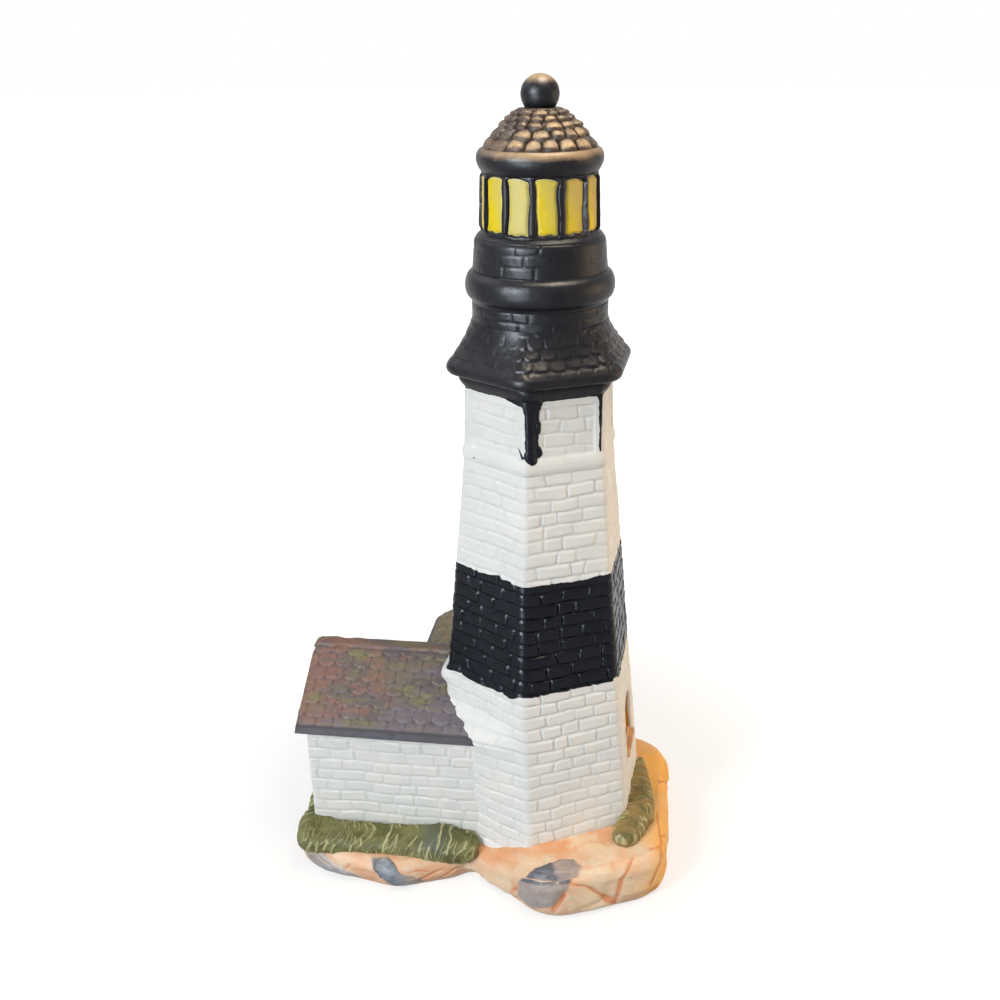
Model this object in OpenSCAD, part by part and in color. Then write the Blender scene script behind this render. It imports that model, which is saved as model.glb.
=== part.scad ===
// Ceramic lighthouse figurine: a six-sided brick tower with a round lantern,
// a low house with a rear wing, hedges and a hollow rocky base.
// Millimetres. +Z is up, the house runs along X and its long front faces -Y.
// The origin lies in the middle of the base's outline, on the surface it stands on.

/* [Casting] */
// Thickness of the ceramic wall
wall = 4.5; // [3.5:0.5:5.5]

/* [Tower] */
// Circumradius of the tower at its foot
tower_foot_r = 47.6; // [45:0.2:50]
// Circumradius at the belt, where the straight taper ends
tower_belt_r = 31.4; // [30.5:0.2:34]
// Circumradius at the top of the panel section
tower_top_r = 30.4; // [29:0.2:32]
// Rounding of the tower's corners at its foot
tower_corner_r = 5; // [2:0.5:7]
// Turn of the tower against the house, in degrees
tower_turn = -4; // [-8:1:8]
// Height of the lower white section
lower_h = 67; // [60:1:80]
// Height of the black band
band_h = 46.4; // [35:0.2:55]
// Height of the upper white section
upper_h = 47.1; // [35:0.1:60]
// Height of the panel section
panel_h = 25.5; // [20:0.5:32]

/* [Panels and belt] */
// Width of the raised border round each panel
panel_border = 3; // [2:0.5:5]
// Depth of each panel inside its border
panel_depth = 0.6; // [0.4:0.1:1]
// Height of the belt moulding
belt_h = 3.6; // [2.5:0.1:5]
// How far the belt stands out from the face
belt_out = 0.9; // [0.5:0.1:1.5]

/* [Window] */
// Width of the arched window
window_w = 19; // [14:0.5:22]
// Height of the window's sill above the tower's foot
window_sill_z = 25.5; // [18:0.5:30]
// Height of the window from its sill to the top of its arch
window_h = 22.5; // [18:0.5:28]
// Depth of the window's recess
window_depth = 3; // [2:0.1:3.4]
// Thickness of the painted pane at the back of the recess
pane_t = 1.2; // [0.8:0.1:1.5]
// Height of the brick sill
sill_h = 3; // [2:0.5:5]
// How far the sill stands out from the face
sill_out = 1.4; // [0.8:0.1:2.5]

/* [Gallery roof] */
// Circumradius of the gallery roof at its rim
gallery_r = 38.3; // [36.5:0.1:42]
// Height of the gallery roof
gallery_h = 19; // [15:0.5:24]
// Thickness of the gallery roof's rounded rim
gallery_rim_h = 6.5; // [4:0.5:8]
// Circumradius of the small moulding under the rim
lip_r = 33.6; // [32.5:0.1:35]
// Height of the small moulding under the rim
lip_h = 5.5; // [4:0.5:8]

/* [Lantern] */
// Radius of the brick neck above the gallery roof
neck_r = 25.6; // [25:0.1:26.6]
// Thickness of the neck's wall
neck_wall = 3.8; // [3:0.1:4.5]
// Height of the neck
neck_h = 6.5; // [5:0.5:10]
// Largest radius of the round gallery ring
ring_r = 27.9; // [27.2:0.1:30]
// Height of the round gallery ring
ring_h = 12; // [9:0.5:14]
// Radius of the lantern wall at its foot
drum_r = 25; // [24.6:0.1:25.6]
// Height of the lantern wall up to the sloping sill
drum_h = 11.7; // [9:0.1:16]
// Height of the sloping sill under the windows
shoulder_h = 2.9; // [2:0.1:4]
// Radius of the window ring
glazing_r = 22.1; // [21.4:0.1:22.6]
// Height of the window ring
glazing_h = 19.7; // [16:0.1:24]
// Number of windows round the lantern
glazing_count = 13; // [8:1:16]
// Share of the pitch that a window's opening takes
glazing_share = 0.67; // [0.5:0.01:0.8]
// Height of a window's opening
glazing_open_h = 16.5; // [12:0.5:18]
// Depth of the panes behind the face of the bars
glazing_inset = 0.8; // [0.4:0.1:1.5]
// Turn of the middle of the first window from the +X axis, in degrees
glazing_turn = -77.5; // [-90:0.5:90]
// Largest radius of the cornice
cornice_r = 23; // [22.8:0.1:25]
// Height of the cornice
cornice_h = 8.2; // [6:0.1:10]
// Radius of the dome at its foot
dome_r = 21.1; // [20:0.1:21.8]
// Radius of the dome at its top
dome_top_r = 8; // [7.4:0.1:9]
// Height of the dome
dome_h = 13.3; // [11:0.1:17]
// Radius of the ball on top
ball_r = 6.95; // [6.2:0.05:7.2]
// Height of the ball that stands above the dome
ball_h = 11.2; // [9.5:0.1:12]

/* [House] */
// Distance from the tower's axis to the house's end wall
house_left = 95; // [80:1:96]
// Half of the house's width
house_half = 35; // [32:0.5:37]
// Height of the eaves above the tower's foot
eave_z = 40.5; // [34:0.5:48]
// Height of the ridge above the tower's foot
ridge_z = 65; // [60:0.5:72]
// Thickness of the roof at its eave edge
eave_t = 2; // [1.5:0.1:3]
// Thickness of the roof, measured upright
roof_t = 4.5; // [3.5:0.1:6]
// Overhang of the roof past the long walls
eave_out = 2; // [1:0.5:4]
// Overhang of the roof past the end walls
verge_out = 4; // [2:0.5:5]
// Radius of the rounded ridge cap
ridge_cap_r = 2.3; // [1.5:0.1:3.5]

/* [Rear wing] */
// Distance from the tower's axis to the rear wing's ridge
rear_ridge_x = 24; // [20:0.5:28]
// Half of the rear wing's width
rear_half = 33; // [30:0.5:34]
// Distance from the tower's axis to the rear wing's end wall
rear_back = 61; // [54:0.5:62]

/* [Base] */
// Height of the mound that the tower stands on
mound_h = 20; // [17:0.5:24]
// Height of the lower rocks that the house stands on
shelf_h = 12; // [9:0.5:14]
// Reach of the base to the left of the tower's axis
base_left = 106; // [105:0.5:112]
// Reach of the base to the right of the tower's axis
base_right = 58.5; // [57:0.5:64]
// Reach of the base in front of the tower's axis
base_front = 67; // [65:0.5:72]
// Reach of the base behind the tower's axis
base_back = 77; // [76:0.5:84]
// How far the base's sides tuck in at the surface it stands on
base_tuck = 3; // [1.5:0.5:4]
// Height of the hedge's top above the lower rocks
hedge_h = 6; // [4:0.5:8]
// Half of the hedge's width
hedge_r = 8; // [7:0.5:8.5]
// Reach of the rear rocks past the rear wing's walls
rear_margin = 9; // [7:0.5:9]
// Half of the grass's width
grass_r = 5.2; // [4:0.1:5.5]
// Height of the grass above the mound
grass_h = 5; // [3:0.5:7]
// Radius of the larger blue-grey rocks
rock_r = 6.5; // [5:0.5:7]
// How far the blue-grey rocks stand out from the base's side
rock_out = 1.6; // [1:0.1:2.5]

/* [Hidden] */
$fn = 96;
hull_fn = 32;
slice_t = 0.1;
past = 1;

// Corner and face directions of a hexagon with corners on its X axis
cos_face = cos(30);
corner_steps = 24;
corner_share = tower_corner_r / tower_foot_r;

// The tower's axis, seen from the middle of the base's outline
axis_x = (base_left - base_right) / 2;
axis_y = (base_front - base_back) / 2;

// Levels of the stacked sections, above the surface
foot_z = mound_h;
band_z = foot_z + lower_h;
upper_z = band_z + band_h;
panel_z = upper_z + upper_h;
lip_z = panel_z + panel_h;
gallery_z = lip_z + lip_h;
neck_z = gallery_z + gallery_h;
ring_z = neck_z + neck_h;
drum_z = ring_z + ring_h;
shoulder_z = drum_z + drum_h;
glazing_z = shoulder_z + shoulder_h;
cornice_z = glazing_z + glazing_h;
dome_z = cornice_z + cornice_h;
ball_z = dome_z + dome_h;

// The straight taper from the foot to the belt, and the tilt of a face
taper_h = panel_z - foot_z;
batter = atan((tower_foot_r - tower_belt_r) * cos_face / taper_h);

// Depth of the notch that the belt moulding sits in
belt_seat = 2;

// Bore of the round stack, and the lantern's inner radii
bore_r = neck_r - neck_wall;
drum_top_r = drum_r - 0.9;
lantern_bore_r = glazing_r - wall;
dome_bore_top_r = max(dome_top_r - wall, 1.5);

// Levels and slopes of the two roofs
eave_abs = foot_z + eave_z;
ridge_abs = foot_z + ridge_z;
house_slope = (ridge_abs - eave_abs - eave_t) / (house_half + eave_out);
rear_slope = (ridge_abs - eave_abs - eave_t) / (rear_half + eave_out);
under_ridge = ridge_abs - roof_t;

// Round posts that the three lobes of the base are stretched round: [x, y, r]
end_post_r = 24;
front_post_r = 22;
rear_post_r = 20;
house_posts = [
    [-base_left + end_post_r, -27, end_post_r],
    [-52, -34, front_post_r],
    [-38, -27, rear_post_r],
    [-base_left + end_post_r, 27, end_post_r],
    [-30, 34, front_post_r]
];
mound_posts = [
    [12, -base_front + front_post_r, front_post_r],
    [base_right - front_post_r, -34, front_post_r],
    [base_right - end_post_r, 18, end_post_r],
    [-18, -22, front_post_r],
    [-27, 4, end_post_r],
    [-20, 25, end_post_r],
    [4, 32, end_post_r]
];
rear_reach = rear_half + rear_margin - rear_post_r;
rear_posts = [
    [-rear_ridge_x - rear_reach, base_back - rear_post_r, rear_post_r],
    [-rear_ridge_x + rear_reach, base_back - rear_post_r, rear_post_r],
    [-rear_ridge_x - rear_reach, rear_post_r, rear_post_r],
    [-rear_ridge_x + rear_reach, rear_post_r, rear_post_r]
];

// Middle points of the hedges and of the grass: [x, y]
hedge_front_y = -house_half - hedge_r + 0.5;
hedge_corner = [-house_left + 3, hedge_front_y];
hedge_inner = [-29, hedge_front_y + 1];
hedge_left_front = [-house_left + 2.5, hedge_front_y + 2];
hedge_left_back = [-house_left + 2.5, 26];
grass_x = tower_foot_r * cos_face;
grass_points = [
    [grass_x - 3.2, -0.8 * tower_foot_r],
    [grass_x + 3.3, -0.29 * tower_foot_r],
    [grass_x + 2.3, 0.29 * tower_foot_r]
];

// Blue-grey rocks on the front of the base: [post, facing, height, radius, roll]
rock_foot_z = 0.8;
rocks = [
    [house_posts[0], 232, 0.42 * shelf_h, rock_r, 10],
    [house_posts[1], 262, 0.46 * shelf_h, rock_r, 20],
    [mound_posts[0], 262, 0.72 * mound_h, 0.85 * rock_r, 0],
    [mound_posts[0], 236, 0.3 * mound_h, rock_r, 15]
];

// Places its children on the tower's axis, in the house's directions
module at_axis() {
    translate([axis_x, axis_y, 0]) children();
}

// Places its children on the tower's axis, with a hexagon face towards +X
module at_tower() {
    at_axis() rotate([0, 0, tower_turn]) children();
}

// A hexagon with rounded corners, two of which lie on the Y axis
module hexagon(r) {
    corner = r * corner_share;
    rotate(30) offset(r = corner, $fn = corner_steps) circle(r = r - corner / cos_face, $fn = 6);
}

// A six-sided drum that tapers from r0 at its foot to r1
module drum(z, h, r0, r1) {
    translate([0, 0, z]) linear_extrude(height = h, scale = r1 / r0) hexagon(r0);
}

// A thin six-sided slice, to stretch a moulding over
module slice(z, r) {
    translate([0, 0, z]) linear_extrude(slice_t) hexagon(r);
}

// Circumradius of the tower's taper at a height above the surface
function taper_r(z) = tower_foot_r - (tower_foot_r - tower_belt_r) * (z - foot_z) / taper_h;

// Circumradius of the hollow inside a six-sided wall
function inner_r(r) = r - wall / cos_face;

// One hollow section of the tapering tower
module tower_section(z, h) {
    difference() {
        drum(z, h, taper_r(z), taper_r(z + h));
        tower_hollow(z, h);
    }
}

module tower_hollow(z, h) {
    z0 = z - past;
    z1 = z + h + past;
    drum(z0, z1 - z0, inner_r(taper_r(z0)), inner_r(taper_r(z1)));
}

// The tower's whole outer form, which the house is cut back to
module tower_body() {
    at_tower() drum(foot_z - past, taper_h + past, taper_r(foot_z - past), tower_belt_r);
}

// Places its children on the tower's right face, with X pointing straight out of it
module on_right_face(z) {
    translate([taper_r(z) * cos_face, 0, z]) rotate([0, -batter, 0]) children();
}

// An arched outline in the plane of the face, standing on its sill
module arch(depth_from, depth_to) {
    arch_r = window_w / 2;
    rotate([90, 0, 90]) translate([0, 0, depth_from]) linear_extrude(depth_to - depth_from) {
        translate([-arch_r, 0]) square([window_w, window_h - arch_r]);
        translate([0, window_h - arch_r]) circle(r = arch_r);
    }
}

// A tube of revolution between two heights, from an inner radius to the child outline
module turned(z, h, inner) {
    translate([0, 0, z]) rotate_extrude() intersection() {
        translate([inner, 0]) square([tower_foot_r, h]);
        children();
    }
}

// Outline of a rounded ring: seat is its radius at top and bottom, r its largest radius
module bead(seat, r, h) {
    bulge = r - seat;
    bead_r = (h * h / 4 + bulge * bulge) / (2 * bulge);
    square([seat, h]);
    translate([r - bead_r, h / 2]) circle(r = bead_r);
}

// Straight-sided outline that runs from r0 at the bottom to r1 at the top
module slope(r0, r1, h) {
    polygon([[0, 0], [r0, 0], [r1, h], [0, h]]);
}

// One post of the rocky base, with a bulging side and a rounded top edge
module rock_post(x, y, r, h) {
    translate([x, y, 0]) rotate_extrude($fn = hull_fn) polygon([
        [0, 0], [r - base_tuck, 0], [r - base_tuck / 4, 2.5], [r, 5.5],
        [r - 0.6, h - 5.5], [r - 2.6, h - 2.2], [r - 6.5, h], [0, h]
    ]);
}

// One lobe of the base, grown sideways where a rock stands out from it
module lobe(posts, h, grown = 0) {
    hull() for (p = posts) rock_post(p[0], p[1], p[2] + grown, h);
}

// The hollow of a lobe, one wall inside its side and under its top
module lobe_hollow(posts, h) {
    hull() for (p = posts) {
        translate([p[0], p[1], -past])
            cylinder(r = p[2] - base_tuck - wall, h = h - wall + past, $fn = hull_fn);
    }
}

// The whole outer form of the base
module base_body() {
    at_axis() {
        lobe(house_posts, shelf_h);
        lobe(rear_posts, shelf_h);
        lobe(mound_posts, mound_h);
    }
}

module mound_body() {
    at_axis() lobe(mound_posts, mound_h);
}

// The gabled end view of a wing: half is half its width, measured at the walls
module wing_outline(half, slope_rate) {
    wall_top = under_ridge - slope_rate * half;
    polygon([[-half, 0], [-half, wall_top], [0, under_ridge], [half, wall_top], [half, 0]]);
}

// The end view of a wing's roof, from eave to eave
module roof_outline(half) {
    edge = half + eave_out;
    polygon([[-edge, eave_abs], [-edge, eave_abs + eave_t], [0, ridge_abs],
        [edge, eave_abs + eave_t], [edge, eave_abs]]);
}

// Stretches an end view along X from x0 to x1
module along_x(x0, x1) {
    translate([x0, 0, 0]) rotate([90, 0, 90]) linear_extrude(x1 - x0) children();
}

// Stretches an end view along Y from y0 to y1, centred on the rear wing's ridge
module along_y(y0, y1) {
    translate([-rear_ridge_x, y1, 0]) rotate([90, 0, 0]) linear_extrude(y1 - y0) children();
}

// The closed form of the house, walls and roof together
module house_body() {
    at_axis() {
        along_x(-house_left, 0) wing_outline(house_half, house_slope);
        along_x(-house_left - verge_out, 0) roof_outline(house_half);
    }
}

// The closed form of the rear wing
module rear_body() {
    at_axis() {
        along_y(0, rear_back) wing_outline(rear_half, rear_slope);
        along_y(0, rear_back + verge_out) roof_outline(rear_half);
    }
}

// Plan of the opening in the base's top, under the tower and the two wings
module base_opening_plan() {
    translate([axis_x, axis_y]) {
        rotate(tower_turn) hexagon(inner_r(tower_foot_r));
        translate([-house_left + wall, -house_half + wall])
            square([house_left - wall, 2 * (house_half - wall)]);
        translate([-rear_ridge_x - rear_half + wall, 0])
            square([2 * (rear_half - wall), rear_back - wall]);
    }
}

// Hollow rocky base, open underneath
module rock_base() {
    color("peachpuff") difference() {
        base_body();
        at_axis() {
            lobe_hollow(house_posts, shelf_h);
            lobe_hollow(rear_posts, shelf_h);
            lobe_hollow(mound_posts, mound_h);
        }
        translate([0, 0, -past]) linear_extrude(mound_h + 2 * past) base_opening_plan();
    }
}

// Six-sided blocks that point out of the base's front, where the rocks are
module rock_blocks() {
    for (k = rocks) {
        post = k[0];
        translate([post[0], post[1], k[2]]) rotate([0, 90, k[1]])
            translate([0, 0, post[2] / 2]) rotate([0, 0, k[4]])
                cylinder(r = k[3], h = post[2], $fn = 6);
    }
}

// Rocks that stand a little out of the base's side, within its outline
module blue_grey_rocks() {
    color("slategray") difference() {
        at_axis() intersection() {
            rock_blocks();
            union() {
                lobe(house_posts, shelf_h, rock_out);
                lobe(mound_posts, mound_h, rock_out);
            }
            translate([-base_left, -base_front, rock_foot_z])
                cube([base_left + base_right, base_front, mound_h]);
        }
        base_body();
        at_axis() hedge_run(hedge_corner, hedge_inner);
        at_axis() hedge_run(hedge_left_front, hedge_left_back);
    }
}

// One end of a hedge, with a domed top
module hedge_post(p, r, z, h) {
    translate([p[0], p[1], z]) rotate_extrude($fn = hull_fn)
        polygon([[0, 0], [r, 0], [r, h * 0.55], [r * 0.86, h * 0.83], [r * 0.5, h], [0, h]]);
}

module hedge_run(a, b) {
    foot = shelf_h - 5;
    hull() {
        hedge_post(a, hedge_r, foot, hedge_h + 5);
        hedge_post(b, hedge_r, foot, hedge_h + 5);
    }
}

// Hedge along the front of the house
module hedge_front() {
    color("olivedrab") difference() {
        at_axis() hedge_run(hedge_corner, hedge_inner);
        base_body();
        house_body();
        tower_body();
    }
}

// Hedge round the end of the house
module hedge_left() {
    color("olivedrab") difference() {
        at_axis() hedge_run(hedge_left_front, hedge_left_back);
        at_axis() hedge_run(hedge_corner, hedge_inner);
        base_body();
        house_body();
    }
}

// Grass at the foot of the tower's right face
module grass_right() {
    color("olive") difference() {
        at_axis() for (i = [0 : len(grass_points) - 2]) hull() {
            hedge_post(grass_points[i], grass_r, mound_h - 2, grass_h + 2);
            hedge_post(grass_points[i + 1], grass_r, mound_h - 2, grass_h + 2);
        }
        mound_body();
        tower_body();
    }
}

module tower_lower() {
    color("white") at_tower() difference() {
        tower_section(foot_z, lower_h);
        on_right_face(foot_z + window_sill_z) arch(-window_depth, wall);
    }
}

module window_pane() {
    color("gold") at_tower() on_right_face(foot_z + window_sill_z)
        arch(-window_depth, -window_depth + pane_t);
}

module window_sill() {
    color("chocolate") at_tower() on_right_face(foot_z + window_sill_z)
        translate([0, -window_w / 2 - 1, -sill_h]) cube([sill_out, window_w + 2, sill_h]);
}

module tower_band() {
    color("black") at_tower() tower_section(band_z, band_h);
}

module tower_upper() {
    color("white") at_tower() difference() {
        tower_section(upper_z, upper_h);
        belt_notch();
    }
}

// The notch that the belt moulding sits in
module belt_notch() {
    translate([0, 0, panel_z - belt_h]) difference() {
        linear_extrude(belt_h + past) hexagon(tower_foot_r);
        translate([0, 0, -past]) linear_extrude(belt_h + 3 * past)
            hexagon(tower_belt_r - belt_seat);
    }
}

module belt_moulding() {
    color("white") at_tower() difference() {
        hull() {
            slice(panel_z - belt_h, taper_r(panel_z - belt_h));
            slice(panel_z - belt_h / 2, tower_belt_r + belt_out);
            slice(panel_z - slice_t, tower_belt_r);
        }
        translate([0, 0, panel_z - belt_h - past]) linear_extrude(belt_h + 2 * past)
            hexagon(tower_belt_r - belt_seat);
    }
}

// Panel section: each of its six faces is let in behind a raised border
module tower_panels() {
    side = tower_top_r - 2 * panel_border;
    apothem = tower_top_r * cos_face;
    lean = atan((tower_belt_r - tower_top_r) * cos_face / panel_h);
    color("white") at_tower() difference() {
        drum(panel_z, panel_h, tower_belt_r, tower_top_r);
        translate([0, 0, panel_z - past]) linear_extrude(panel_h + 2 * past)
            hexagon(inner_r(tower_top_r));
        for (i = [0 : 5]) rotate([0, 0, 60 * i])
            translate([apothem - panel_depth, -side / 2, panel_z + panel_h - panel_border])
                rotate([0, -lean, 0]) translate([0, 0, -panel_h + 2 * panel_border])
                    cube([wall, side, panel_h - 2 * panel_border]);
    }
}

// Small moulding between the tower and the gallery roof
module gallery_lip() {
    color("black") at_tower() difference() {
        hull() {
            slice(lip_z, tower_top_r);
            slice(lip_z + lip_h * 0.6, lip_r);
            slice(lip_z + lip_h - slice_t, lip_r - 1);
        }
        translate([0, 0, lip_z - past]) cylinder(r = bore_r, h = lip_h + 2 * past);
    }
}

// Flared roof that turns from six-sided at its rim to round at its neck
module gallery_roof() {
    color("black") at_tower() difference() {
        hull() {
            slice(gallery_z, gallery_r - 2.2);
            slice(gallery_z + gallery_rim_h / 2, gallery_r);
            slice(gallery_z + gallery_rim_h, gallery_r - 1.4);
            translate([0, 0, neck_z - slice_t]) cylinder(r = neck_r, h = slice_t, $fn = 48);
        }
        translate([0, 0, gallery_z - past]) cylinder(r = bore_r, h = gallery_h + 2 * past);
    }
}

module lantern_neck() {
    color("black") at_axis() turned(neck_z, neck_h, bore_r) slope(neck_r, neck_r - 0.2, neck_h);
}

module gallery_ring() {
    color("black") at_axis() turned(ring_z, ring_h, bore_r) bead(neck_r - 0.2, ring_r, ring_h);
}

module lantern_wall() {
    color("black") at_axis() turned(drum_z, drum_h, lantern_bore_r)
        slope(drum_r, drum_top_r, drum_h);
}

module lantern_sill() {
    color("black") at_axis() turned(shoulder_z, shoulder_h, lantern_bore_r)
        slope(drum_top_r, glazing_r + 0.6, shoulder_h);
}

// The openings of the lantern's windows, cut from inside to outside
module glazing_openings() {
    open_w = 2 * glazing_r * sin(180 * glazing_share / glazing_count);
    open_z = glazing_z + (glazing_h - glazing_open_h) / 2;
    for (i = [0 : glazing_count - 1])
        rotate([0, 0, glazing_turn + 360 * i / glazing_count])
            translate([lantern_bore_r / 2, -open_w / 2, open_z])
                cube([glazing_r, open_w, glazing_open_h]);
}

module lantern_bars() {
    color("black") at_axis() difference() {
        turned(glazing_z, glazing_h, lantern_bore_r)
            slope(glazing_r, glazing_r - 0.6, glazing_h);
        glazing_openings();
    }
}

module lantern_panes() {
    pane_r = glazing_r - 0.6 - glazing_inset;
    color("gold") at_axis() intersection() {
        turned(glazing_z, glazing_h, lantern_bore_r) slope(pane_r, pane_r, glazing_h);
        glazing_openings();
    }
}

module cornice_ring() {
    color("black") at_axis() turned(cornice_z, cornice_h, lantern_bore_r)
        bead(glazing_r - 0.6, cornice_r, cornice_h);
}

module dome_roof() {
    color("saddlebrown") at_axis() translate([0, 0, dome_z]) difference() {
        cylinder(r1 = dome_r, r2 = dome_top_r, h = dome_h);
        translate([0, 0, -wall]) cylinder(r1 = dome_r, r2 = dome_bore_top_r, h = dome_h);
    }
}

// Ball, cut flat where it stands on the dome
module finial_ball() {
    color("black") at_axis() intersection() {
        translate([0, 0, ball_z + ball_h - ball_r]) sphere(r = ball_r);
        translate([0, 0, ball_z]) cylinder(r = 2 * ball_r, h = 2 * ball_h);
    }
}

// Walls of the house, open towards the tower and under the roof
module house_walls() {
    color("white") difference() {
        at_axis() difference() {
            translate([0, 0, shelf_h]) intersection() {
                translate([0, 0, -shelf_h])
                    along_x(-house_left, 0) wing_outline(house_half, house_slope);
                translate([-house_left - past, -house_half - past, 0])
                    cube([house_left + past, 2 * (house_half + past), ridge_abs]);
            }
            translate([-house_left + wall, -house_half + wall, 0])
                cube([house_left, 2 * (house_half - wall), ridge_abs]);
        }
        tower_body();
        mound_body();
    }
}

module house_roof() {
    color("rosybrown") difference() {
        at_axis() difference() {
            along_x(-house_left - verge_out, 0) roof_outline(house_half);
            along_x(-house_left, past) wing_outline(house_half, house_slope);
        }
        tower_body();
    }
}

module house_ridge_cap() {
    color("tan") difference() {
        at_axis() translate([-house_left - verge_out, 0, ridge_abs - ridge_cap_r / 2])
            rotate([0, 90, 0]) cylinder(r = ridge_cap_r, h = house_left + verge_out);
        house_body();
        tower_body();
    }
}

// Walls of the rear wing, which start at the back of the house
module rear_walls() {
    color("white") difference() {
        at_axis() difference() {
            translate([0, 0, shelf_h]) intersection() {
                translate([0, 0, -shelf_h])
                    along_y(0, rear_back) wing_outline(rear_half, rear_slope);
                translate([-rear_ridge_x - rear_half - past, 0, 0])
                    cube([2 * (rear_half + past), rear_back + past, ridge_abs]);
            }
            translate([-rear_ridge_x - rear_half + wall, -past, 0])
                cube([2 * (rear_half - wall), rear_back - wall + past, ridge_abs]);
        }
        house_body();
        tower_body();
        mound_body();
    }
}

module rear_roof() {
    color("darkkhaki") difference() {
        at_axis() difference() {
            along_y(0, rear_back + verge_out) roof_outline(rear_half);
            along_y(-past, rear_back) wing_outline(rear_half, rear_slope);
        }
        house_body();
        tower_body();
    }
}

module rear_ridge_cap() {
    color("tan") difference() {
        at_axis() translate([-rear_ridge_x, rear_back + verge_out, ridge_abs - ridge_cap_r / 2])
            rotate([90, 0, 0]) cylinder(r = ridge_cap_r, h = rear_back + verge_out);
        rear_body();
        house_body();
        house_ridge_cap();
        tower_body();
    }
}

rock_base();
blue_grey_rocks();
hedge_front();
hedge_left();
grass_right();
tower_lower();
window_pane();
window_sill();
tower_band();
tower_upper();
belt_moulding();
tower_panels();
gallery_lip();
gallery_roof();
lantern_neck();
gallery_ring();
lantern_wall();
lantern_sill();
lantern_bars();
lantern_panes();
cornice_ring();
dome_roof();
finial_ball();
house_walls();
house_roof();
house_ridge_cap();
rear_walls();
rear_roof();
rear_ridge_cap();
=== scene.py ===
import itertools
import math

import bpy
import mathutils
import numpy as np
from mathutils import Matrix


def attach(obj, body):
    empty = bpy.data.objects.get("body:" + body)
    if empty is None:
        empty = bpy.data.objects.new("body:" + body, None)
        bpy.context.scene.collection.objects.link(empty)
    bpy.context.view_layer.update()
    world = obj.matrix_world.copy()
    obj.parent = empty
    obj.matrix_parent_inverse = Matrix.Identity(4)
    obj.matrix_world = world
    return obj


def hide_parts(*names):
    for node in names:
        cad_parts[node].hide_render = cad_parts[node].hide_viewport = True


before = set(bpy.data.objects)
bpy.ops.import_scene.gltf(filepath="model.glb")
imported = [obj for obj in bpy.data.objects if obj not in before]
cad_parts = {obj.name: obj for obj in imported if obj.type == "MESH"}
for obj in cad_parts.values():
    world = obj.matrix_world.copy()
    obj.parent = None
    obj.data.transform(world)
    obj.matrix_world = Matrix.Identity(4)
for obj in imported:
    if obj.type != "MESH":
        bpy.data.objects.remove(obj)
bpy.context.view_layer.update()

# The rocky base is one hollow casting, open underneath: a mound under the tower and lower rocks under the
# two wings. Its side was carved in flat chips before firing, and washed by hand in peach, cream and rust.
tower_axis = np.array([23.75, -5.0])
base_heart = np.array([-28.0, 10.0])
mound_top = 20.0
shelf_top = 12.0
base_tuck = 3.0
edge_round = 6.5
casting_wall = 4.5
cut_back = 1.2
side_mm = 22.0
outline_points, side_rows = 880, 46
sharp_degrees = 55.0
house_lobe = np.array([[-80, -29.5, 24], [-56, -36.5, 22], [-40, -32, 20.5],
                       [-82, 27, 24], [-30, 34, 22]], float)
mound_lobe = np.array([[12, -45, 22], [36.5, -34, 22], [34.5, 18, 24], [-18, -22, 22], [-27, 4, 24],
                       [-20, 25, 24], [4, 32, 24]], float)
rear_lobe = np.array([[-46, 57, 20], [-2, 57, 20], [-46, 20, 20], [-2, 20, 20]], float)


class Link:
    """One output of a shader node, so that 1 - mask or 0.4 * grain adds the Math nodes it stands for."""

    def __init__(self, finish, socket):
        self.finish = finish
        self.socket = socket

    def maths(self, operation, left, right):
        """Adds the Math node for one operation."""
        return self.finish.node("ShaderNodeMath", {"operation": operation}, {0: left, 1: right})

    def __add__(self, other):
        return self.maths("ADD", self, other)

    def __sub__(self, other):
        return self.maths("SUBTRACT", self, other)

    def __rsub__(self, other):
        return self.maths("SUBTRACT", other, self)

    def __mul__(self, other):
        return self.maths("MULTIPLY", self, other)

    __radd__ = __add__
    __rmul__ = __mul__


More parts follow.
